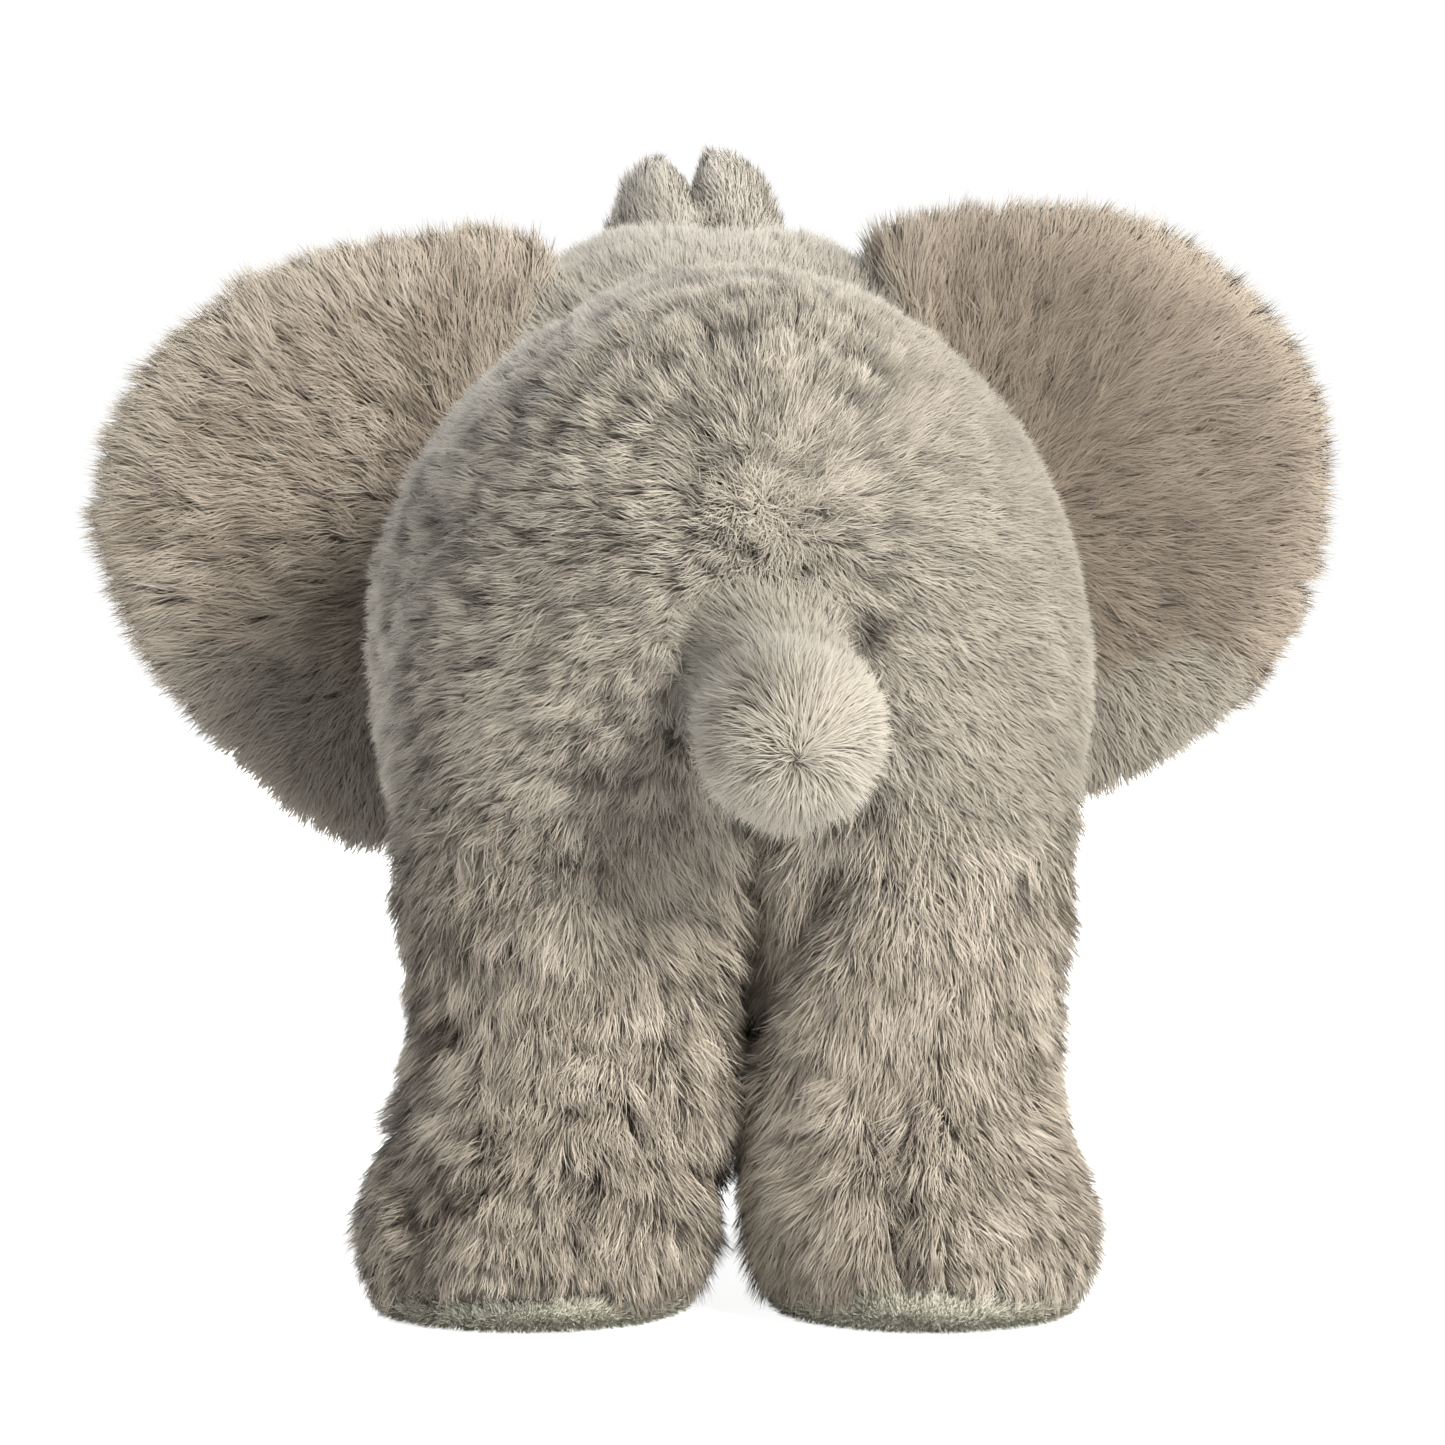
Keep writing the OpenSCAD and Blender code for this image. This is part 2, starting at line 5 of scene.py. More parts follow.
import bpy
import numpy as np
import openvdb
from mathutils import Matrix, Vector


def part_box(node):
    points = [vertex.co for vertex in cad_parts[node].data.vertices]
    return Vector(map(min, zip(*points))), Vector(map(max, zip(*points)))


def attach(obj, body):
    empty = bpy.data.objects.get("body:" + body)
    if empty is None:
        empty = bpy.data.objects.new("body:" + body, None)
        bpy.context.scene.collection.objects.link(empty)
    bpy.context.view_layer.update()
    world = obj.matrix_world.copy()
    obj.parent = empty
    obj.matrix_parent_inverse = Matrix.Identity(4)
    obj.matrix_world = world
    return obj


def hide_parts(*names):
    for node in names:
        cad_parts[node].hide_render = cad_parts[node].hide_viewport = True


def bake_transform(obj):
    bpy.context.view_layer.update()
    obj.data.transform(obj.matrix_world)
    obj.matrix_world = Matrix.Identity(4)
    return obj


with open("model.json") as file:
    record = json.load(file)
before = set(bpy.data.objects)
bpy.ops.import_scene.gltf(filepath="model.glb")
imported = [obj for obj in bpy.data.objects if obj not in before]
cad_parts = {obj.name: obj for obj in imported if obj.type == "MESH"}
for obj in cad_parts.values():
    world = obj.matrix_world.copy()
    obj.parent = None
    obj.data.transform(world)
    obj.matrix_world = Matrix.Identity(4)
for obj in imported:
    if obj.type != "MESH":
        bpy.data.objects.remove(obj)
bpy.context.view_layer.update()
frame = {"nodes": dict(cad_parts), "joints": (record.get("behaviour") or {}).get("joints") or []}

# Lengths here are in mm until a mesh is made. The toy faces -Y, and +X is its left.
MM = 0.001
# Spacing of the grid that the skin's form is worked out on
VOXEL = 3.0
# The skin lies this far inside the outer face of the plush, and the pile fills the rest
PILE_ROOM = 3.2

# ---------------------------------------------------------------------------
# Camera and light
# ---------------------------------------------------------------------------

CAMERA_PLACE = (0.0317, 0.802, 0.125)
CAMERA_LENS = 116.3
CAMERA_TURN = math.radians(177.8)
CAMERA_TILT = math.radians(2.64)
LIGHTS_AIM = Vector((0, 0, 0.1))


def make_camera():
    """A long lens behind the toy, level with its back."""
    data = bpy.data.cameras.new("camera")
    data.lens = CAMERA_LENS
    data.sensor_width = 36.0
    data.clip_start = 0.02
    data.clip_end = 30.0
    camera = bpy.data.objects.new("camera", data)
    bpy.context.scene.collection.objects.link(camera)
    look = Vector((
        -math.sin(CAMERA_TURN) * math.cos(CAMERA_TILT),
        math.cos(CAMERA_TURN) * math.cos(CAMERA_TILT),
        -math.sin(CAMERA_TILT),
    ))
    camera.location = CAMERA_PLACE
    camera.rotation_mode = "QUATERNION"
    camera.rotation_quaternion = look.to_track_quat("-Z", "Y")
    bpy.context.scene.camera = camera


def area_light(name, place, size, power, colour):
    """A round soft lamp, aimed at the middle of the toy."""
    data = bpy.data.lights.new(name, "AREA")
    data.shape = "DISK"
    data.size = size
    data.energy = power
    data.color = colour
    obj = bpy.data.objects.new(name, data)
    obj.location = place
    obj.rotation_mode = "QUATERNION"
    obj.rotation_quaternion = (LIGHTS_AIM - Vector(place)).to_track_quat("-Z", "Y")
    bpy.context.scene.collection.objects.link(obj)


def make_world():
    """A white background that lights the toy only faintly, and a little blue."""
    world = bpy.data.worlds.new("studio")
    bpy.context.scene.world = world
    world.use_nodes = True
    tree = world.node_tree
    tree.nodes.clear()
    out = tree.nodes.new("ShaderNodeOutputWorld")
    mix = tree.nodes.new("ShaderNodeMixShader")
    path = tree.nodes.new("ShaderNodeLightPath")
    lit = tree.nodes.new("ShaderNodeBackground")
    seen = tree.nodes.new("ShaderNodeBackground")
    lit.inputs["Color"].default_value = (0.93, 0.97, 1.0, 1)
    lit.inputs["Strength"].default_value = 0.20
    seen.inputs["Color"].default_value = (1, 1, 1, 1)
    seen.inputs["Strength"].default_value = 1.0
    tree.links.new(path.outputs["Is Camera Ray"], mix.inputs[0])
    tree.links.new(lit.outputs[0], mix.inputs[1])
    tree.links.new(seen.outputs[0], mix.inputs[2])
    tree.links.new(mix.outputs[0], out.inputs["Surface"])


make_camera()
area_light("key", (-0.68, 1.12, 0.77), 0.45, 33.0, (1.0, 0.968, 0.915))
area_light("fill", (1.1, 0.9, 0.5), 1.0, 0.6, (0.92, 0.96, 1.0))
area_light("top", (0.3, -0.8, 1.2), 0.9, 17.0, (0.97, 0.985, 1.0))
area_light("face", (0.5, -1.4, 0.45), 1.2, 11.0, (1.0, 0.99, 0.97))
make_world()
bpy.context.scene.view_settings.view_transform = "Standard"
bpy.context.scene.view_settings.look = "None"

# ---------------------------------------------------------------------------
# Meshes
# ---------------------------------------------------------------------------


def mesh_object(name, verts_mm, corners, starts):
    """A smooth mesh object from points in mm, the corners of its faces in turn, and each face's first."""
    mesh = bpy.data.meshes.new(name)
    mesh.vertices.add(len(verts_mm))
    mesh.vertices.foreach_set("co", (verts_mm * MM).astype(np.float32).ravel())
    mesh.loops.add(len(corners))
    mesh.loops.foreach_set("vertex_index", corners.astype(np.int32))
    mesh.polygons.add(len(starts))
    mesh.polygons.foreach_set("loop_start", starts.astype(np.int32))
    mesh.update(calc_edges=True)
    mesh.polygons.foreach_set("use_smooth", np.ones(len(starts), bool))
    obj = bpy.data.objects.new(name, mesh)
    bpy.context.scene.collection.objects.link(obj)
    return obj


def new_mesh(name, verts_mm, quads):
    """A smooth mesh object from points in mm and an array of quads."""
    corners = np.asarray(quads).ravel()
    obj = mesh_object(name, np.asarray(verts_mm, np.float32), corners, np.arange(0, len(corners), 4))
    obj.data.validate()
    return obj


def set_normals(mesh, normals):
    """Gives each point of a mesh its own shading normal."""
    attribute = mesh.attributes.new("custom_normal", "FLOAT_VECTOR", "POINT")
    attribute.data.foreach_set("vector", normals.astype(np.float32).ravel())


FLOOR_HALF = 6e3
floor = new_mesh("floor", [
    [-FLOOR_HALF, -FLOOR_HALF, 0],
    [FLOOR_HALF, -FLOOR_HALF, 0],
    [FLOOR_HALF, FLOOR_HALF, 0],
    [-FLOOR_HALF, FLOOR_HALF, 0],
], [[0, 1, 2, 3]])

# ---------------------------------------------------------------------------
# Numbers of the toy's shape, from the frame
# ---------------------------------------------------------------------------


def joint_at(name):
    """The place of a joint, in mm."""
    return np.array(next(j for j in frame["joints"] if j["name"] == name)["pos_m"], float) * 1000


def node_box(*names):
    """Lowest and highest corner of some CAD nodes together, in mm."""
    boxes = [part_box(n) for n in names]
    low = np.min([np.array(b[0]) for b in boxes], axis=0) * 1000
    high = np.max([np.array(b[1]) for b in boxes], axis=0) * 1000
    return low, high


neck = joint_at("neck_nod")
trunk_root = joint_at("trunk_lift")
tail_root = joint_at("tail_wag")
hips = {
    "leg_rear_left": joint_at("hip_rear_left"),
    "leg_rear_right": joint_at("hip_rear_right"),
    "leg_front_left": joint_at("shoulder_front_left"),
    "leg_front_right": joint_at("shoulder_front_right"),
}
ear_roots = {"ear_left": joint_at("ear_left_flap"), "ear_right": joint_at("ear_right_flap")}
EAR_ROOT_X = abs(ear_roots["ear_left"][0])
EAR_ROOT_Y = ear_roots["ear_left"][1]
# +1 for the ear on the toy's left, -1 for the other
EAR_SIDE = {"ear_left": 1, "ear_right": -1}

body_low, body_high = node_box("body_panel_left", "body_panel_right")
BODY_HALF = np.array([(body_high[0] - body_low[0]) / 2, 70.0, 60.5])
BODY_MID = np.array([1.0, tail_root[1] + 2 - BODY_HALF[1], 105.0])
# How far the body's two ends lie above its middle
BODY_RISE = 8.0

head_low, head_high = node_box("head_panel_left", "head_panel_right", "crown_gusset", "chin_panel")
HEAD_HALF = np.array([(head_high[0] - head_low[0]) / 2, 40.0, 45.0])
HEAD_MID = np.array([0.0, neck[1] - 32, 131.0])
# How far the head's front and back lie below its middle
HEAD_DROP = 8.0
CHEEK = (19, HEAD_MID[1] - 18, 118)
CHEEK_R = 19
FOREHEAD = (14, HEAD_MID[1] - 8, 154.8)
FOREHEAD_R = 18.5

# The trunk's middle line from its joint, as a Bezier curve in Y and Z, and its radius at
# its root, middle and tip
TRUNK_ROUTE = np.array([[0, 0], [-25, -7], [-33, 28], [-23, 63]], float) + trunk_root[1:]
TRUNK_R = (18.5, 16.0, 18.0)
TRUNK_END = 0.95
TRUNK_TIP_UP = 59
# The cleft in the trunk's tip leans by this slope
CLEFT_LEAN = 0.3

TAIL_DOWN = math.radians(33)
TAIL_ASIDE = math.radians(4)
TAIL_DIR = np.array([
    -math.cos(TAIL_DOWN) * math.sin(TAIL_ASIDE),
    math.cos(TAIL_DOWN) * math.cos(TAIL_ASIDE),
    -math.sin(TAIL_DOWN),
])
TAIL_END = tail_root + 34 * TAIL_DIR

# The ears sweep back by this angle
EAR_SWEEP = math.radians(8)
# Outline of each ear with its fringe, as the distance from the toy's middle and the height
EAR_OUTLINES = {
    1: np.array([
        [36, 100], [40, 77], [52, 61], [65, 59.5], [79, 66.5], [92, 79],
        [104, 94], [111.5, 109], [115, 124], [112, 139.5], [105, 152], [94.5, 162],
        [82, 170], [66, 174.5], [45, 177], [28, 175], [24, 160], [30, 128],
    ], float),
    -1: np.array([
        [36, 100], [41, 81], [54, 68.5], [68, 68], [81, 73.5], [95, 84.5],
        [106, 100], [112, 117], [114.5, 131], [112, 146.5], [103.5, 160.5], [92, 170.5],
        [79, 178.5], [61, 182], [40, 181], [25, 177.5], [24, 160], [30, 128],
    ], float),
}
# The ear's skin ends this far inside its fringe
FRINGE = 5.2

# Each leg: its axis at a few heights, and its radius there, under the pile
LEG_LEVELS = [0, 12, 24, 36, 48, 60, 78, 92, 106]
FRONT_X = [27.0, 27.0, 26.2, 25.2, 25, 25, 25, 24, 23]
FRONT_R = [20.5, 20.8, 19.6, 18.4, 18.4, 19.4, 18.0, 14, 8]
LEG_SHAPES = {
    "leg_rear_left": (
        [33.5, 33.2, 29.8, 26.6, 27.0, 28.5, 29, 29, 28],
        [24.8, 25.4, 24.9, 23.4, 22.4, 23.0, 21.6, 18.0, 11],
    ),
    "leg_rear_right": (
        [-27.6, -27.2, -24.2, -22.6, -22.4, -25.0, -28, -28, -27],
        [23.8, 24.4, 23.4, 22.6, 21.8, 22.2, 21.2, 17.6, 11],
    ),
    "leg_front_left": (FRONT_X, FRONT_R),
    "leg_front_right": ([-x for x in FRONT_X], FRONT_R),
}
# The legs' skin runs from just above the floor to well inside the body
LEG_BOTTOM = 3.0
LEG_TOP = 108
# How far each foot stands back from its leg
FOOT_BACK = {"leg_rear_left": 1.5, "leg_rear_right": 5.0, "leg_front_left": 0.0, "leg_front_right": 0.0}

# The pile of the head fans out from the nape, and the body's from a point on the rump
NAPE = neck + np.array([0, 8.0, 0])
WHORL = np.array([-2.5, tail_root[1] + 2, 126.0])

# ---------------------------------------------------------------------------
# Noise
# ---------------------------------------------------------------------------


def cell_random(cell, seed):
    """A number from 0 to 1 for each row of whole numbers."""
    h = (cell[:, 0] * 73856093) ^ (cell[:, 1] * 19349663) ^ (cell[:, 2] * 83492791) ^ (seed * 1000003)
    h = ((h ^ (h >> 13)) * 1274126177) & 0x7FFFFFFF
    h = ((h ^ (h >> 15)) * 1103515245) & 0x7FFFFFFF
    h = h ^ (h >> 16)
    return (h & 0xFFFF) / 65535.0


def noise(points, scale, seed):
    """Smooth noise from -1 to 1, with features of about scale mm."""
    q = points / scale + 31.7 * seed
    cell = np.floor(q).astype(np.int64)
    f = q - cell
    f = f * f * (3 - 2 * f)
    total = np.zeros(len(points))
    for k in range(8):
        step = np.array([k & 1, k >> 1 & 1, k >> 2 & 1])
        weight = np.prod(np.where(step == 1, f, 1 - f), axis=1)
        total += weight * cell_random(cell + step, seed)
    return total * 2 - 1


def smoothstep(x, low, high):
    """0 below low, 1 above high, and smooth between them."""
    t = np.clip((x - low) / (high - low), 0, 1)
    return t * t * (3 - 2 * t)

# ---------------------------------------------------------------------------
# The skin: one closed surface from smoothly joined forms
# ---------------------------------------------------------------------------

GRID_LOW = np.array([-121.0, -151.0, -4.0])
GRID_HIGH = np.array([121.0, 149.0, 205.0])
counts = np.ceil((GRID_HIGH - GRID_LOW) / VOXEL).astype(int)
axes = [GRID_LOW[i] + VOXEL * np.arange(counts[i]) for i in range(3)]
X, Y, Z = [g.astype(np.float32) for g in np.meshgrid(*axes, indexing="ij")]


def join(a, b, k):
    """Smooth union of two distance fields."""
    h = np.clip(0.5 + 0.5 * (b - a) / k, 0, 1)
    return b * (1 - h) + a * h - k * h * (1 - h)


def cut(a, b, k):
    """Smooth intersection of two distance fields."""
    return -join(-a, -b, k)


def to_distance(f):
    """A field that is 0 on a surface, scaled to be about the distance from it."""
    gx, gy, gz = np.gradient(f, VOXEL)
    return np.clip(f / np.maximum(np.sqrt(gx * gx + gy * gy + gz * gz), 1e-6), -25, 25)


def by_height(heights, values):
    """Values at the grid's levels, from those at a few heights."""
    return np.interp(axes[2], heights, values)[None, None, :]


def ball(centre, radius):
    return np.sqrt((X - centre[0]) ** 2 + (Y - centre[1]) ** 2 + (Z - centre[2]) ** 2) - radius


def egg(centre, half):
    u, v, w = (X - centre[0]) / half[0], (Y - centre[1]) / half[1], (Z - centre[2]) / half[2]
    return to_distance(np.sqrt(u ** 2 + v ** 2 + w ** 2) - 1)


def tube(points, radii):
    """Distance to a chain of round cones."""
    best = np.full(X.shape, 99.0, np.float32)
    for a, b, ra, rb in zip(points[:-1], points[1:], radii[:-1], radii[1:]):
        d = b - a
        t = ((X - a[0]) * d[0] + (Y - a[1]) * d[1] + (Z - a[2]) * d[2]) / (d @ d)
        t = np.clip(t, 0, 1)
        u, v, w = X - a[0] - t * d[0], Y - a[1] - t * d[1], Z - a[2] - t * d[2]
        best = np.minimum(best, np.sqrt(u ** 2 + v ** 2 + w ** 2) - (ra + (rb - ra) * t))
    return best


def torso_field():
    """A plump barrel, a little narrower towards its top."""
    half = BODY_HALF - PILE_ROOM
    v = (Y - BODY_MID[1]) / half[1]
    rise = BODY_RISE * np.clip(v * v, 0, 1)
    narrow = np.clip(1 - 0.003 * (Z - BODY_MID[2]), 0.8, 1.03)
    q = ((X - BODY_MID[0]) / (half[0] * narrow)) ** 2
    q = q + ((Z - BODY_MID[2] - rise) / half[2]) ** 2
    return to_distance((q ** (1 / 0.6) + v * v) ** 0.4 - 1)


def head_field():
    """A rounded block for the skull."""
    half = HEAD_HALF - PILE_ROOM
    v = (Y - HEAD_MID[1]) / half[1]
    drop = HEAD_DROP * np.clip(v * v, 0, 1)
    u = np.abs(X / half[0])
    w = np.abs((Z - HEAD_MID[2] + drop) / half[2])
    q = (u ** 2.7 + w ** 2.7) ** (2 / 2.7)
    return to_distance((q ** (1 / 0.8) + v * v) ** 0.45 - 1)


def leg_field(name):
    """A column with a flared foot, flat underneath."""
    centre_x, radius = (by_height(LEG_LEVELS, values) for values in LEG_SHAPES[name])
    centre_y = hips[name][1] + FOOT_BACK[name] * (1 - smoothstep(axes[2], 6, 44))[None, None, :]
    d = np.sqrt((X - centre_x) ** 2 + ((Y - centre_y) / 1.03) ** 2) - radius
    d = cut(d, LEG_BOTTOM - Z, 5.0)
    return cut(d, Z - LEG_TOP, 10.0).astype(np.float32)


def tail_field():
    """A stub that sags at its end."""
    bends = ((-6, 7.0, 0), (8, 7.6, -2.2), (20, 4.6, -2.2), (34, -0.3, -2.2))
    points = [tail_root + along * TAIL_DIR + np.array([aside, 0, -sag]) for along, sag, aside in bends]
    return tube(np.array(points), np.array([7.4, 8.2, 9.8, 10.4]))


def trunk_route(t):
    """Y and Z along the trunk's middle line, for t from 0 at its root to 1 at its tip."""
    t = np.asarray(t, float)[:, None]
    p = TRUNK_ROUTE
    return p[0] * (1 - t) ** 3 + 3 * p[1] * t * (1 - t) ** 2 + 3 * p[2] * t * t * (1 - t) + p[3] * t ** 3


def trunk_radius(t):
    a, b, c = TRUNK_R
    return a * (1 - t) * (1 - 2 * t) + 4 * b * t * (1 - t) + c * t * (2 * t - 1)


def trunk_field():
    """The raised trunk, whose end is two lobes side by side with a cleft between them."""
    t = np.linspace(-0.1, TRUNK_END, 22)
    lean = 2.6 * smoothstep(t, 0.3, 0.9)
    points = np.column_stack([lean, trunk_route(t)])
    d = tube(points, np.maximum(trunk_radius(t) - PILE_ROOM, 3))
    tip = points[-1]
    for root_x, x, z, r in ((8.2, 4.2, 1.6, 9.6), (-5.2, -3.8, 2.0, 12.0)):
        lobe = np.array([[root_x, 0, -9], [x, 0.5, z]]) + tip
        d = join(d, tube(lobe, np.array([r + 1, r - 0.4])), 2.5)
    aside = np.abs(X - CLEFT_LEAN * (Z - tip[2]))
    slit = cut(aside - by_height([tip[2], tip[2] + 12], [0.8, 2.2]), tip[2] + 1 - Z, 2.0)
    # The cleft runs on down the back of the trunk as a groove
    groove = cut(cut(aside - 1.5, tip[2] - 22 - Z, 2.0), tip[1] + 7 - Y, 2.0)
    near = np.abs(Y - tip[1]) < 26
    return np.where(near, cut(d, -np.minimum(slit, groove), 2.0), d)


def closed_spline(points, per):
    """A smooth loop through some points, with per points for each of them."""
    n = len(points)
    out = []
    for i in range(n):
        a, b, c, d = points[i - 1], points[i], points[(i + 1) % n], points[(i + 2) % n]
        for f in np.arange(per) / per:
            bend_2 = (2 * a - 5 * b + 4 * c - d) * f * f
            bend_3 = (3 * b - a - 3 * c + d) * f ** 3
            out.append(0.5 * (2 * b + (c - a) * f + bend_2 + bend_3))
    return np.array(out)


EAR_LOOPS = {side: closed_spline(outline, 5) for side, outline in EAR_OUTLINES.items()}


def outline_distance(px, pz, loop):
    """Signed distance to a closed outline, negative inside."""
    best = np.full(px.shape, 1e9)
    inside = np.zeros(px.shape, bool)
    for a, b in zip(loop, np.roll(loop, -1, axis=0)):
        d = b - a
        t = np.clip(((px - a[0]) * d[0] + (pz - a[1]) * d[1]) / (d @ d), 0, 1)
        best = np.minimum(best, np.hypot(px - a[0] - t * d[0], pz - a[1] - t * d[1]))
        crosses = (a[1] > pz) != (b[1] > pz)
        with np.errstate(divide="ignore", invalid="ignore"):
            at = a[0] + (pz - a[1]) * d[0] / d[1]
        inside ^= crosses & (px < at)
    return np.where(inside, -best, best)


def to_ear(side, x, y):
    """Places in an ear's own frame: out along it from the toy's middle, and back through it."""
    ox, oy = side * x - EAR_ROOT_X, y - EAR_ROOT_Y
    c, s = math.cos(EAR_SWEEP), math.sin(EAR_SWEEP)
    return c * ox + s * oy + EAR_ROOT_X, -s * ox + c * oy


def ear_dish(lx, lz):
    """How far back an ear's middle surface lies: a shallow cup with a slightly rolled rim."""
    out = np.clip((lx - EAR_ROOT_X) / 70, 0, 1.1)
    return 2.7 * np.sin(out * math.pi) - 3.0 * out ** 3 + 1.6 * np.sin((lz - 122) / 17.0) * out


def ear_rim(side, lx, lz):
    """Distance out from the edge of an ear's skin, negative inside it."""
    return outline_distance(lx, lz, EAR_LOOPS[side]) + FRINGE


def ear_field(side):
    """A thin pad with a round edge."""
    lx, ly = to_ear(side, X, Y)
    inside = -ear_rim(side, lx, Z)
    crown = np.sqrt(np.clip(1 - (1 - np.clip(inside / 15, 0, 1)) ** 2, 0, 1))
    away = np.abs(ly - ear_dish(lx, Z))
    flat = away - (1.2 + 3.4 * crown)
    edge = np.hypot(np.maximum(-inside, 0), away) - 1.2
    return np.where(inside > 0, flat, edge).astype(np.float32)


def toy_field():
    """The whole toy's skin."""
    torso = torso_field()
    body = torso
    for name, blend in zip(hips, (15, 15, 11, 11)):
        body = np.minimum(body, join(torso, leg_field(name), blend))
    body = join(body, tail_field(), 3.5)
    head = head_field()
    lip_low, lip_high = node_box("lower_lip")
    lip = (lip_low + lip_high) / 2
    head = join(head, egg([0, lip[1] + 3, lip[2] + 1], [13.5, 15.0, 8.0]), 5.0)
    for side in (-1, 1):
        head = join(head, ball([side * CHEEK[0], *CHEEK[1:]], CHEEK_R), 8.0)
        head = join(head, ball([side * FOREHEAD[0], *FOREHEAD[1:]], FOREHEAD_R), 9.0)
    head = join(head, trunk_field(), 7.0)
    for side in (-1, 1):
        head = join(head, ear_field(side), 4.0)
    return join(body, head, 9.0)


def face_normals(v, f):
    return np.cross(v[f[:, 2]] - v[f[:, 0]], v[f[:, 3]] - v[f[:, 1]])


def vertex_normals(v, f):
    n = face_normals(v, f)
    out = np.zeros_like(v)
    for k in range(f.shape[1]):
        for axis in range(3):
            out[:, axis] += np.bincount(f[:, k], n[:, axis], len(v))
    return out / np.maximum(np.linalg.norm(out, axis=1, keepdims=True), 1e-9)


def smoothed(v, f, rounds, amount):
    """Moves each point of a closed mesh towards the mean of its neighbours, a few times."""
    a = f.ravel()
    b = np.roll(f, -1, axis=1).ravel()
    ends = np.concatenate([a, b])
    others = np.concatenate([b, a])
    count = np.maximum(np.bincount(ends, minlength=len(v)), 1)[:, None]
    for _ in range(rounds):
        mean = np.stack([np.bincount(ends, v[others, i], len(v)) for i in range(3)], 1) / count
        v = v + (mean - v) * amount
    return v


def skin_of(field):
    """A closed mesh of quads on the surface of a field, facing outward."""
    band = VOXEL * 3
    grid = openvdb.FloatGrid(band)
    grid.copyFromArray(np.clip(field, -band, band).astype(np.float32))
    v, f = grid.convertToQuads(isovalue=0.0)
    v = np.asarray(v, float) * VOXEL + GRID_LOW
    f = np.asarray(f, np.int64)
    if np.sum(v[f].mean(1) * face_normals(v, f)) < 0:
        f = f[:, ::-1]
    return smoothed(v, f, 3, 0.5), f


points, quads = skin_of(toy_field())

# ---------------------------------------------------------------------------
# Stuffing pressure: cloth simulation on the whole skin, held at its seams
# ---------------------------------------------------------------------------

PRESSURE = 1600.0
# No point moves further than this
PUFF_MOST = 2.2
CLOTH_FRAMES = 20


def seam_hold(v):
    """1 at the seams, which the pressure can't push out, and less away from them."""
    hold = np.zeros(len(v))
    for hip in hips.values():
        # The seam where a leg meets the body, and the one round its sole
        near = np.hypot(v[:, 0] - hip[0], v[:, 1] - hip[1]) < 34
        hold = np.maximum(hold, near * (1 - smoothstep(np.abs(v[:, 2] - 52), 1.5, 5)))
        hold = np.maximum(hold, near * (1 - smoothstep(v[:, 2], 5, 9)))
    # Round the tail's root
    along = (v - tail_root) @ TAIL_DIR
    off = np.linalg.norm(v - tail_root - along[:, None] * TAIL_DIR, axis=1)
    hold = np.maximum(hold, (off < 15) * (1 - smoothstep(np.abs(along - 7), 1.5, 4)))
    # The ears are quilted flat
    for side in (-1, 1):
        lx, ly = to_ear(side, v[:, 0], v[:, 1])
        on_ear = (lx > EAR_ROOT_X - 4) & (np.abs(ly - ear_dish(lx, v[:, 2])) < 9)
        hold = np.maximum(hold, on_ear * 0.9)
    # Along the back, and the whole of the trunk
    hold = np.maximum(hold, (np.abs(v[:, 0]) < 2.5) * (v[:, 2] > 100) * 0.5)
    hold = np.maximum(hold, (v[:, 1] < trunk_root[1] - 2) * 0.8)
    return np.clip(hold, 0, 1)


def inflate(v, f):
    """The points of a mesh after air pressure has pushed them out as cloth."""
    obj = new_mesh("cloth_try", v, f)
    group = obj.vertex_groups.new(name="hold")
    level = np.round(seam_hold(v) * 10).astype(int)
    for k in range(1, 11):
        ids = np.nonzero(level == k)[0].tolist()
        if ids:
            group.add(ids, k / 10, "REPLACE")
    cloth = obj.modifiers.new("cloth", "CLOTH")
    fabric = cloth.settings
    fabric.quality = 4
    fabric.mass = 0.3
    fabric.tension_stiffness = 12
    fabric.compression_stiffness = 12
    fabric.shear_stiffness = 4
    fabric.bending_stiffness = 0.6
    fabric.air_damping = 2
    fabric.use_pressure = True
    fabric.uniform_pressure_force = PRESSURE
    fabric.vertex_group_mass = "hold"
    fabric.pin_stiffness = 2.0
    fabric.effector_weights.gravity = 0
    cloth.collision_settings.use_collision = False
    cloth.collision_settings.use_self_collision = False
    scene = bpy.context.scene
    for number in range(1, CLOTH_FRAMES + 1):
        scene.frame_set(number)
    evaluated = obj.evaluated_get(bpy.context.evaluated_depsgraph_get())
    moved = np.zeros(len(v) * 3, np.float32)
    evaluated.data.vertices.foreach_get("co", moved)
    scene.frame_set(1)
    bpy.data.objects.remove(obj)
    step = moved.reshape(-1, 3) / MM - v
    length = np.linalg.norm(step, axis=1, keepdims=True)
    return v + np.nan_to_num(step) * np.minimum(1, PUFF_MOST / np.maximum(length, 1e-9))


def subdivide(v, f):
    """One level of Catmull-Clark on the whole skin."""
    obj = new_mesh("subdivide_try", v, f)
    obj.modifiers.new("sub", "SUBSURF").levels = 1
    mesh = obj.evaluated_get(bpy.context.evaluated_depsgraph_get()).data
    co = np.zeros(len(mesh.vertices) * 3, np.float32)
    mesh.vertices.foreach_get("co", co)
    idx = np.zeros(len(mesh.loops), np.int32)
    mesh.loops.foreach_get("vertex_index", idx)
    bpy.data.objects.remove(obj)
    return co.reshape(-1, 3).astype(float) / MM, idx.reshape(-1, 4).astype(np.int64)


points = smoothed(inflate(points, quads), quads, 1, 0.4)
points, quads = subdivide(points, quads)

# ---------------------------------------------------------------------------
# Folds, dents and grooves of the plush
# ---------------------------------------------------------------------------

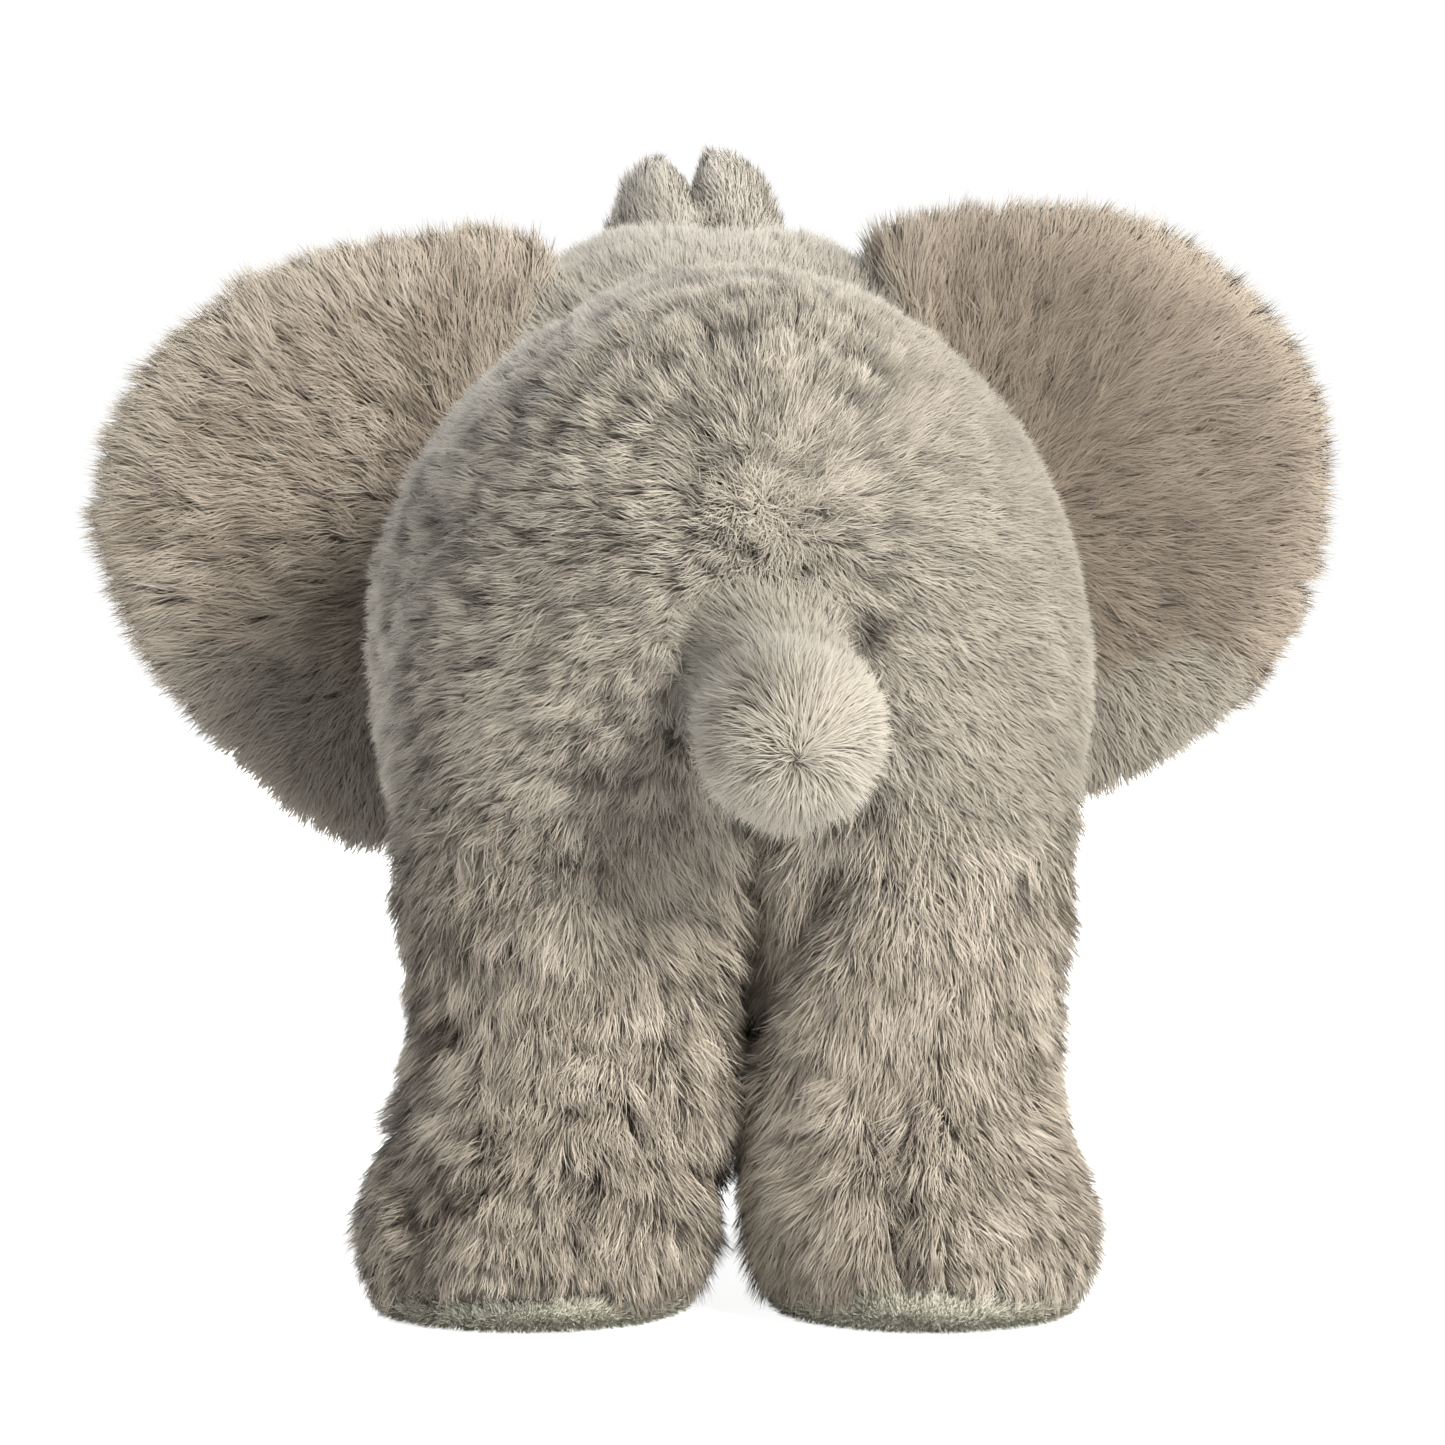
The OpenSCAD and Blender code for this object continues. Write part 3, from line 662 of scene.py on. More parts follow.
# Each crease of the rear: its two ends as X and Z, its depth and its width
CREASES = (
    # The two grooves between the rear legs, which meet in a hollow
    ((-1, 75), (1, 43), 4.6, 3.0),
    ((-12, 70), (-1, 42), 5.2, 2.8),
    # Soft upright folds in the two rear feet
    ((50, 8), (51, 34), 2.6, 2.8),
    ((4, 12), (10, 30), 1.8, 3.0),
    ((-23, 2), (-20, 34), 3.6, 2.6),
)
# Wrinkles that ring the whorl on the back's upper left: how far out, and how deep
WRINKLES = ((21, 1.5), (29, 1.8), (37, 1.5), (46, 1.2))


def near_line(v, a, b):
    """Distance of each point from a line between two points, in the X-Z plane."""
    a, b = np.array(a, float), np.array(b, float)
    d = b - a
    p = v[:, [0, 2]]
    t = np.clip(((p - a) @ d) / (d @ d), 0, 1)
    return np.linalg.norm(p - a - t[:, None] * d, axis=1)


def creases(v):
    """How deep the creases of the rear are at each point."""
    rear = smoothstep(v[:, 1], 70, 84)
    out = np.zeros(len(v))
    for a, b, deep, wide in CREASES:
        out += rear * deep * np.exp(-(near_line(v, a, b) / wide) ** 2)
    d = v - WHORL
    ring = np.linalg.norm(d, axis=1) + 1.6 * noise(v, 18, 8)
    angle = np.arctan2(d[:, 2], d[:, 0])
    arc = smoothstep(angle, 0.0, 0.5) * (1 - smoothstep(angle, 2.3, 2.7)) * smoothstep(v[:, 1], 40, 70)
    for r, deep in WRINKLES:
        out += arc * deep * np.exp(-((ring - r) / 2.0) ** 2)
    return out


def folds(v):
    """How far each point of the skin moves out along its normal."""
    out = 1.1 * noise(v, 26, 3) + 0.45 * noise(v, 11, 4) - creases(v)
    # Soft creases down the flanks
    flank = smoothstep(v[:, 1], -20, 20) * (1 - 0.4 * smoothstep(v[:, 1], 70, 84))
    return out + 0.8 * flank * noise(v * np.array([1.0, 1.0, 0.35]), 9, 9)


def ears_share(v):
    """Folds are half as deep on the ears."""
    share = np.ones(len(v))
    for side in (-1, 1):
        lx, ly = to_ear(side, v[:, 0], v[:, 1])
        share[(lx > EAR_ROOT_X + 3) & (np.abs(ly) < 14)] = 0.5
    return share


points = points + vertex_normals(points, quads) * (folds(points) * ears_share(points))[:, None]
points[:, 2] = np.maximum(points[:, 2], 2.2)
normals = vertex_normals(points, quads)

# --------------------------------------------------------------------------- The skin's pieces, one for each body and one round each joint
# The skin's pieces, one for each body and one for each bend
# ---------------------------------------------------------------------------

NECK_TILT = math.radians(22)
NECK_DIR = np.array([0, -math.cos(NECK_TILT), math.sin(NECK_TILT)])
TRUNK_DIR = np.array([0, -0.97, -0.22])
UP = np.array([0, 0, 1.0])
# Where the stretch round each joint starts and ends, from the joint along its own direction; these set
# where the pieces split
NECK_BLEND = (-9.0, 11.0)
TRUNK_BLEND = (-4.0, 12.0)
TAIL_BLEND = (3.5, 12.0)
EAR_BLEND = (0.5, 10.0)
# The same for a leg, as heights
LEG_BLEND = (46.0, 24.0)
# A piece round a joint starts this far before that stretch
MARGIN = 2.2

REGIONS = [
    "torso", "neck", "head", "trunk", "ear_left", "ear_right", "tail",
    "leg_rear_left", "leg_rear_right", "leg_front_left", "leg_front_right",
]
NUMBER = {name: k for k, name in enumerate(REGIONS)}


def regions_of(p):
    """The piece that each point belongs to, as a number into REGIONS."""
    out = np.full(len(p), NUMBER["torso"])
    nod = (p - neck) @ NECK_DIR
    ahead = p[:, 1] < neck[1] + 40
    out[(nod > NECK_BLEND[0] - MARGIN) & ahead] = NUMBER["neck"]
    out[(nod > NECK_BLEND[1] + MARGIN) & ahead] = NUMBER["head"]
    trunk = (p - trunk_root) @ TRUNK_DIR > TRUNK_BLEND[0] - MARGIN
    trunk |= (p[:, 1] < trunk_root[1] - 8) & (p[:, 2] > 125)
    out[trunk & (p[:, 2] > 98)] = NUMBER["trunk"]
    for name, side in EAR_SIDE.items():
        on = side * p[:, 0] > EAR_ROOT_X + EAR_BLEND[0] - MARGIN
        on &= (p[:, 1] > EAR_ROOT_Y - 16) & (p[:, 1] < EAR_ROOT_Y + 26)
        out[on & (nod > 0)] = NUMBER[name]
    along = (p - tail_root) @ TAIL_DIR
    sagged = tail_root + np.array([-1.0, 0, -5.0])
    off = np.linalg.norm(p - sagged - along[:, None] * TAIL_DIR, axis=1)
    out[(along > TAIL_BLEND[0] - MARGIN) & (off < np.interp(along, [4, 9], [11.5, 18]))] = NUMBER["tail"]
    for name, hip in hips.items():
        on = (p[:, 2] < LEG_BLEND[0] + MARGIN + 1) & (p[:, 0] * hip[0] > 0)
        out[on & (np.abs(p[:, 1] - hip[1]) < 40)] = NUMBER[name]
    return out


def split(v, f, keep):
    """The points and faces of some of a mesh's faces, and which points they are."""
    part = f[keep]
    used, inverse = np.unique(part, return_inverse=True)
    return v[used], inverse.reshape(part.shape), used


def bend_across(obj):
    """Bakes a piece's place into its mesh; it does not bend the piece."""
    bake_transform(obj)


def bend(obj, name):
    """Makes a torso or head piece ride on its body, and bakes any other piece's place into its mesh."""
    if name in ("torso", "head"):
        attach(obj, name)
    elif name == "neck":
        bend_across(obj)
    elif name == "trunk":
        bend_across(obj)
    elif name in EAR_SIDE:
        bend_across(obj)
    elif name == "tail":
        bend_across(obj)
    else:
        bend_across(obj)


# ---------------------------------------------------------------------------
# Materials
# ---------------------------------------------------------------------------


def srgb(r, g, b):
    """A colour given as 0 to 255, in linear light."""
    out = []
    for c in (r, g, b):
        c = c / 255
        out.append(c / 12.92 if c <= 0.04045 else ((c + 0.055) / 1.055) ** 2.4)
    return (*out, 1.0)


def material(name, **finish):
    """An empty Principled material, with some of its sockets set, such as Sheen_Weight."""
    m = bpy.data.materials.new(name)
    m.use_nodes = True
    nt = m.node_tree
    nt.nodes.clear()
    out = nt.nodes.new("ShaderNodeOutputMaterial")
    shader = nt.nodes.new("ShaderNodeBsdfPrincipled")
    nt.links.new(shader.outputs[0], out.inputs[0])
    for socket, value in finish.items():
        shader.inputs[socket.replace("_", " ")].default_value = value
    return m, nt, shader


def ramp(nt, value, stops):
    """A colour that follows a value, through (place, colour) stops."""
    node = nt.nodes.new("ShaderNodeValToRGB")
    elements = node.color_ramp.elements
    while len(elements) > 1:
        elements.remove(elements[-1])
    elements[0].position, elements[0].color = stops[0]
    for place, colour in stops[1:]:
        elements.new(place).color = colour
    nt.links.new(value, node.inputs[0])
    return node.outputs[0]


def math_node(nt, operation, a, b):
    """A sum or product of two outputs, or of one output and a number."""
    node = nt.nodes.new("ShaderNodeMath")
    node.operation = operation
    for i, value in enumerate((a, b)):
        if isinstance(value, (int, float)):
            node.inputs[i].default_value = value
        else:
            nt.links.new(value, node.inputs[i])
    return node.outputs[0]


def grain(nt, scale, detail=2.0):
    """Noise fixed to the object."""
    coord = nt.nodes.new("ShaderNodeTexCoord")
    node = nt.nodes.new("ShaderNodeTexNoise")
    node.inputs["Scale"].default_value = scale
    node.inputs["Detail"].default_value = detail
    nt.links.new(coord.outputs["Object"], node.inputs["Vector"])
    return node.outputs[0]


def add_bump(nt, shader, height, strength, distance):
    bump = nt.nodes.new("ShaderNodeBump")
    bump.inputs["Strength"].default_value = strength
    bump.inputs["Distance"].default_value = distance
    nt.links.new(height, bump.inputs["Height"])
    nt.links.new(bump.outputs[0], shader.inputs["Normal"])


def grey(level):
    return (level, level, level, 1)


def fur_material(name, dark, mid, light):
    """Pile strands: dark, mid and light are the tips' colour for a tone of 0, 0.5 and 1."""
    m, nt, shader = material(
        name, Roughness=0.75, Specular_IOR_Level=0.25, Sheen_Weight=0.2, Sheen_Roughness=0.35,
        Sheen_Tint=(0.95, 0.93, 0.9, 1),
    )
    uv = nt.nodes.new("ShaderNodeUVMap")
    uv.uv_map = "OFBake"
    sep = nt.nodes.new("ShaderNodeSeparateXYZ")
    nt.links.new(uv.outputs[0], sep.inputs[0])
    tone, along = sep.outputs[0], sep.outputs[1]
    tips = ramp(nt, tone, [(0.0, srgb(*dark)), (0.5, srgb(*mid)), (1.0, srgb(*light))])
    # Painted shade: the foot of each strand is darker than its tip, as shade falls deep in the pile, and
    # the very tip is lighter than its colour as painted light
    depth = ramp(nt, along, [
        (0.0, (0.5, 0.49, 0.48, 1)), (0.4, (0.8, 0.79, 0.78, 1)), (0.85, grey(1)), (1.0, grey(1.12)),
    ])
    mix = nt.nodes.new("ShaderNodeMix")
    mix.data_type = "RGBA"
    mix.blend_type = "MULTIPLY"
    mix.inputs[0].default_value = 1.0
    nt.links.new(tips, mix.inputs[6])
    nt.links.new(depth, mix.inputs[7])
    nt.links.new(mix.outputs[2], shader.inputs["Base Color"])
    return m


def backing_material():
    """The backing seen between the strands, darker than the pile as painted shade deep in the pile."""
    m, nt, shader = material("plush_backing", Roughness=0.9, Specular_IOR_Level=0.1)
    fine = grain(nt, 900, 3)
    broad = grain(nt, 60)
    total = math_node(nt, "ADD", math_node(nt, "MULTIPLY", fine, 0.7),
                      math_node(nt, "MULTIPLY", broad, 0.4))
    # Painted shade: darker than the pile, as the backing lies in the pile's shade
    colour = ramp(nt, total, [(0.3, srgb(84, 79, 74)), (0.8, srgb(126, 120, 111))])
    nt.links.new(colour, shader.inputs["Base Color"])
    add_bump(nt, shader, fine, 0.6, 0.0006)
    return m


def mottled_material(name, scale, stops, detail=2.0, bump=None, **finish):
    """Two shades mixed by noise, with a bump of the same noise where one is given."""
    m, nt, shader = material(name, **finish)
    spots = grain(nt, scale, detail)
    nt.links.new(ramp(nt, spots, stops), shader.inputs["Base Color"])
    if bump:
        add_bump(nt, shader, spots, *bump)
    return m


def floor_material():
    """White paper that shows white, and hardly lights the toy."""
    m, nt, shader = material(
        "floor_paper", Base_Color=(0.93, 0.93, 0.93, 1), Emission_Color=grey(1), Roughness=0.9,
        Specular_IOR_Level=0.1,
    )
    path = nt.nodes.new("ShaderNodeLightPath")
    seen = math_node(nt, "MULTIPLY", path.outputs["Is Camera Ray"], 0.86)
    nt.links.new(math_node(nt, "ADD", seen, 0.06), shader.inputs["Emission Strength"])
    return m


FUR = {
    "body": fur_material("plush_body", (98, 94, 87), (178, 171, 159), (206, 199, 186)),
    "ear": fur_material("plush_ear", (88, 79, 72), (172, 160, 145), (206, 196, 182)),
    "head": fur_material("plush_head", (126, 121, 112), (192, 186, 175), (216, 211, 201)),
    "tail": fur_material("plush_tail", (152, 146, 135), (190, 184, 172), (208, 202, 191)),
    "leg": fur_material("plush_leg", (84, 77, 70), (180, 170, 156), (208, 199, 185)),
    # Painted light: the sole's short pile is much lighter than its cloth, to offset the shade it lies in by
    # the floor
    "sole": fur_material("plush_sole", (150, 150, 136), (220, 219, 204), (238, 237, 224)),
}
BACKING = backing_material()
SOLE = mottled_material(
    "sole_cloth", 700, [(0.3, srgb(130, 130, 117)), (0.7, srgb(168, 167, 153))], detail=4,
    bump=(0.5, 0.0004), Roughness=0.85, Sheen_Weight=0.3,
)
MOUTH = mottled_material(
    "mouth_cloth", 1500, [(0.3, srgb(176, 128, 122)), (0.7, srgb(206, 160, 152))], Roughness=0.9,
)
EYE = mottled_material(
    "eye_gloss", 300, [(0.3, srgb(14, 9, 7)), (0.8, srgb(40, 26, 18))], Roughness=0.06,
    Coat_Weight=1.0, Coat_Roughness=0.03,
)
WASHER = mottled_material(
    "washer", 400, [(0.3, srgb(225, 225, 218)), (0.7, srgb(240, 240, 235))], Roughness=0.45,
)
floor.data.materials.append(floor_material())

# The pile that each region wears, as a key into FUR
COAT = {
    "torso": "body", "neck": "body", "head": "head", "trunk": "head", "ear_left": "ear",
    "ear_right": "ear", "tail": "tail", "leg_rear_left": "leg", "leg_rear_right": "leg",
    "leg_front_left": "leg", "leg_front_right": "leg", "sole": "sole",
}
# The CAD's soft solids that each piece of the skin stands for
REPLACED = {
    "torso": ["body_panel_left", "body_panel_right", "belly_panel", "body_stuffing", "body_pellet_pouch"],
    "head": [
        "head_panel_left", "head_panel_right", "crown_gusset", "chin_panel", "head_stuffing", "lower_lip",
    ],
    "trunk": ["trunk_front_panel", "trunk_under_panel", "trunk_stuffing", "nostril_patch"],
    "tail": ["tail_skin", "tail_stuffing"],
}
for side in ("left", "right"):
    REPLACED["ear_" + side] = [f"ear_{part}_{side}" for part in ("back", "front", "batting")]
    for end in ("rear", "front"):
        parts = ("leg_skin", "leg_stuffing", "foot_pellets")
        REPLACED[f"leg_{end}_{side}"] = [f"{part}_{end}_{side}" for part in parts]


def skin_piece(name):
    """The skin of one region, as a piece of its own."""
    v, f, used = split(points, quads, region == NUMBER[name])
    obj = new_mesh("skin_" + name, v, f)
    set_normals(obj.data, normals[used])
    obj.data.materials.append(BACKING)
    bend(obj, name)
    if name in REPLACED:
        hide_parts(*REPLACED[name])


region = regions_of(points[quads].mean(1))
for name in REGIONS:
    skin_piece(name)

# ---------------------------------------------------------------------------
# Pile: tapered ribbons of two segments, combed as the plush lies
# ---------------------------------------------------------------------------

# For each region: its long strands to a square mm, their length, how steeply their lower and
# upper halves rise from the skin in degrees, their width, how far each tuft closes up at its
# tips, and the tufts' size
Pile = namedtuple("Pile", "density length rise_low rise_top width close_up tuft")
REAR_PILE = Pile(5.6, 7.2, 52, 32, 0.2, 0.22, 4.0)
FRONT_PILE = Pile(3.6, 7.0, 52, 32, 0.24, 0.2, 3.6)
PILE = {
    "torso": Pile(6.8, 4.7, 50, 30, 0.17, 0.16, 2.4),
    "neck": Pile(4.5, 5.4, 50, 28, 0.2, 0.12, 2.6),
    "head": Pile(4.8, 5.4, 55, 34, 0.2, 0.15, 3.0),
    "trunk": Pile(5.0, 4.6, 50, 27, 0.2, 0.09, 3.0),
    "ear_left": Pile(4.6, 8.6, 50, 30, 0.2, 0.2, 3.4),
    "ear_right": Pile(4.6, 8.6, 50, 30, 0.2, 0.18, 3.0),
    "tail": Pile(8.4, 6.2, 56, 38, 0.18, 0.06, 2.6),
    "leg_rear_left": REAR_PILE,
    "leg_rear_right": REAR_PILE,
    "leg_front_left": FRONT_PILE,
    "leg_front_right": FRONT_PILE,
    "sole": Pile(7.0, 1.9, 70, 50, 0.16, 0.1, 1.2),
}
# The undercoat: how many of its short straight strands stand among the long ones, for each
# long one, their length and their width, as shares of the long ones'
UNDER, UNDER_LONG, UNDER_WIDE = 1.0, 0.62, 1.5
THIN = 1.0
# No piece has more triangles than this
MOST = 195000

rng = np.random.default_rng(11)


def unit(v):
    return v / np.maximum(np.linalg.norm(v, axis=1, keepdims=True), 1e-9)


def flat_on(t, n):
    """The part of each direction that lies along the skin."""
    return t - np.sum(t * n, axis=1)[:, None] * n


def on_face(p):
    """0 on the back of the head and 1 on the face."""
    return smoothstep(HEAD_MID[1] - p[:, 1], -4, 14)


def styled_as(name, p):
    """Whose pile each point of a region wears, as numbers into REGIONS."""
    style = np.full(len(p), NUMBER[name])
    if name == "torso":
        # The legs' longer pile begins among the body's
        cell = np.floor(p * 50).astype(np.int64)
        chance = np.clip((84 - p[:, 2] + 5 * noise(p, 9, 82)) / 36, 0, 1) ** 1.3
        mixed = cell_random(cell, 83) < chance
        reach = 24 + 10 * cell_random(cell, 84)
        for leg, hip in hips.items():
            near = (p[:, 0] * hip[0] > 0) & (np.abs(p[:, 1] - hip[1]) < reach)
            style[mixed & near] = NUMBER[leg]
    if name == "head":
        # An ear's pile runs on over the edge of the head
        for ear, side in EAR_SIDE.items():
            lx, ly = to_ear(side, p[:, 0], p[:, 1])
            wide = np.interp(p[:, 2], [90, 132, 160, 178], [43, 43, 35, 24])
            on = (side * p[:, 0] > 20) & (lx > wide)
            on &= (np.abs(ly - ear_dish(lx, p[:, 2])) < 8) & (ear_rim(side, lx, p[:, 2]) < 3)
            style[on] = NUMBER[ear]
    return style


def tail_comb(p):
    """Back along the tail, and outward from the middle of its end."""
    centre = TAIL_END + np.array([-1.5, 0, 2.5])
    along = (p - centre) @ TAIL_DIR
    away = unit(p - centre - along[:, None] * TAIL_DIR)
    back = smoothstep(-along, -4, 8)[:, None]
    return unit(away * (1 - back) - TAIL_DIR * back)


def trunk_comb(p, n):
    """From the trunk's root to its tip."""
    yz = trunk_route(np.linspace(0, 0.93, 24))
    step = np.gradient(yz, axis=0)
    near = np.argmin((p[:, 1:2] - yz[:, 0]) ** 2 + (p[:, 2:3] - yz[:, 1]) ** 2, axis=1)
    d = np.zeros((len(p), 3))
    d[:, 1:] = step[near]
    return unit(unit(d) + 0.25 * n)


def comb(name, p, n):
    """The way the pile lies at each point, before it is laid into the surface."""
    if name == "tail":
        return tail_comb(p)
    if name == "trunk":
        return trunk_comb(p, n)
    if name in EAR_SIDE:
        # Outward from the ear's root, whatever side of the ear it is on
        d = p - ear_roots[name] - np.array([-EAR_SIDE[name] * 6, 0, -2.0])
        d[:, 1] *= 0.15
        return unit(d)
    if name in hips:
        # Down the leg, and a little outward
        out = (p - hips[name]) * np.array([1, 1, 0])
        return unit(0.30 * unit(out) - UP)
    if name == "head":
        # Away from the nape, and down over the face
        face = on_face(p)[:, None]
        fan = unit(flat_on(unit(p - NAPE), n))
        return fan * (1 - 0.5 * face) + np.array([0, 0.25, -0.8]) * face
    if name == "sole":
        return unit(n + 0.4 * UP)
    # Away from the whorl, and down on the lower body
    down = 0.45 * smoothstep(100 - p[:, 2], 0, 45)[:, None]
    return unit(unit(p - WHORL) * (1 - down) - UP * down)


def ruffled(name, p):
    """How rough the pile lies: 1 where it has been crushed in handling, and near 0 where it lies smooth."""
    if name == "torso":
        return 0.1 + 0.8 * smoothstep(p[:, 0] + 4 * noise(p, 30, 75), -38, -6)
    if name == "leg_rear_left":
        share = 1.0
    elif name in hips:
        share = 0.55
    elif name == "ear_left":
        share = 0.5
    else:
        share = 0.15
    return np.full(len(p), share)


def whorl_near(name, p):
    """1 at the middle of a whorl, where the pile stands up, and 0 away from it."""
    if name == "tail":
        return 1 - smoothstep(np.linalg.norm(p - tail_root - 46 * TAIL_DIR, axis=1), 2, 11)
    if name == "torso":
        return 0.9 * (1 - smoothstep(np.linalg.norm(p - WHORL, axis=1), 3, 15))
    return np.zeros(len(p))


def ear_painted_light(name, p):
    """Painted light and shade on an ear: a lighter rim, painted shade at the left ear's root and painted
    light at the right one's, a painted shadow of the body on the left ear's lower part, and the left ear
    lighter and the right one darker all over against how the key light falls.
    """
    side = EAR_SIDE[name]
    lx, ly = to_ear(side, p[:, 0], p[:, 1])
    # Painted rim light: lighter towards the ear's rim
    tone = 0.25 * smoothstep(ear_rim(side, lx, p[:, 2]), -14, 0)
    near_root = 1 - smoothstep(lx, EAR_ROOT_X, EAR_ROOT_X + 26)
    if side > 0:
        # Left ear: lighter all over, with painted shade at its root and a painted shadow of the body over
        # its lower part
        body_shadow = (1 - smoothstep(lx, 52, 80)) * (1 - smoothstep(p[:, 2], 84, 122))
        return tone + 0.18 - 0.12 * near_root - 0.34 * body_shadow
    # Right ear, on the key light's side: darker all over, with painted light at its root
    return tone - 0.17 + 0.12 * near_root


def torso_tone_and_shade(p):
    """Darker at the whorl, with a painted shadow under the tail and painted shade on the smooth right
    flank, which faces the key light.
    """
    at_whorl = 1 - smoothstep(np.linalg.norm(p - WHORL, axis=1), 8, 26)
    # Painted shadow of the tail on the rump below it
    below_tail = tail_root - np.array([6, 0, 36])
    tail_shadow = 1 - smoothstep(np.linalg.norm((p - below_tail) * np.array([1, 0.4, 1]), axis=1), 6, 22)
    # The last two terms are painted shade: the smooth right flank, which the key light lights most, and the
    # tail's shadow
    return -0.05 * at_whorl - 0.12 * (1 - ruffled("torso", p)) - 0.16 * tail_shadow


def tail_light_and_shade(p):
    """Painted light at the middle of the end, a painted shadow of a fold that leads to it, and a little
    darker all over.
    """
    at = TAIL_END[[0, 2]]
    fold_shadow = np.exp(-(near_line(p, at + (4, 9.5), at + (-1, 4.5)) / 1.8) ** 2)
    # Painted light at the whorl, and the fold's painted shadow
    return 0.2 * whorl_near("tail", p) - 0.08 - 0.35 * fold_shadow


def tone_of(name, p):
    """Lightness of the pile at each point, about 0.5: random tone, with painted light and shade added in
    places.
    """
    rough = ruffled(name, p)
    tone = 0.5 + (0.10 * noise(p, 22, 21) + 0.12 * noise(p, 7, 22)) * (0.5 + 0.5 * rough)
    tone += rough * (0.26 * noise(p, 4.0, 23) + 0.26 * noise(p * np.array([0.5, 1.0, 1.6]), 3.0, 24))
    if name in ("torso", "leg_rear_left", "leg_rear_right"):
        # Painted shade in the creases
        tone -= 0.09 * np.minimum(creases(p), 3.5)
    if name == "leg_rear_right":
        # Painted light: the right rear leg, on the key light's side, is lighter all over
        tone += 0.12
    if name == "torso":
        tone += torso_tone_and_shade(p)
    if name == "tail":
        tone += tail_light_and_shade(p)
    if name in EAR_SIDE:
        tone += ear_painted_light(name, p)
    if name == "trunk":
        # Lighter all over, with painted light towards the top and on the left lobe, which faces away from
        # the key light
        tone += 0.22 + 0.18 * smoothstep(p[:, 2], 140, 170) + 0.12 * smoothstep(p[:, 0], 0, 8)
    if name == "head":
        face = on_face(p)
        # Painted shade on the back of the crown's right side, where an ear's shadow falls; the face is
        # lighter
        tone += 0.12 * face - 0.2 * smoothstep(-p[:, 0], 6, 28) * (1 - face)
    return tone


def sole_shows(name, p):
    """1 at the back of a foot, where its sole shows under the pile, and 0 round its sides."""
    middle = LEG_SHAPES[name][0][0]
    behind = smoothstep(p[:, 1] - hips[name][1] - FOOT_BACK[name], 8, 22)
    return behind * (1 - smoothstep(np.abs(p[:, 0] - middle), 9, 19))


def length_share(name, p):
    """How long the strands are for their region: shorter at rims, above soles and in the cleft."""
    if name in EAR_SIDE:
        return 1 - 0.2 * rim_near(name, p)
    if name in hips:
        return 1 - (0.2 + 0.25 * sole_shows(name, p)) * (1 - smoothstep(p[:, 2], 7, 17))
    if name == "trunk":
        from_cleft = np.abs(p[:, 0] - CLEFT_LEAN * (p[:, 2] - trunk_root[2] - TRUNK_TIP_UP))
        return 0.5 + 0.5 * smoothstep(from_cleft, 2.0, 6.0)
    return np.ones(len(p))


def rim_near(name, p):
    """1 at an ear's rim and 0 well inside it."""
    lx, _ = to_ear(EAR_SIDE[name], p[:, 0], p[:, 1])
    return smoothstep(ear_rim(EAR_SIDE[name], lx, p[:, 2]), -10, 0)


def scatter(v, f, n, per_area):
    """Roots spread evenly over a mesh of quads: their places and normals."""
    tri = np.concatenate([f[:, [0, 1, 2]], f[:, [0, 2, 3]]])
    area = np.linalg.norm(np.cross(v[tri[:, 1]] - v[tri[:, 0]], v[tri[:, 2]] - v[tri[:, 0]]), axis=1) / 2
    cumulative = np.cumsum(area)
    count = int(cumulative[-1] * per_area)
    at = (np.arange(count) + rng.random(count)) / count * cumulative[-1]
    pick = tri[np.minimum(np.searchsorted(cumulative, at), len(tri) - 1)]
    a, b = rng.random(count), rng.random(count)
    over = a + b > 1
    a[over], b[over] = 1 - a[over], 1 - b[over]
    share = np.stack([1 - a - b, a, b], 1)[:, :, None]
    return (v[pick] * share).sum(1), unit((n[pick] * share).sum(1))


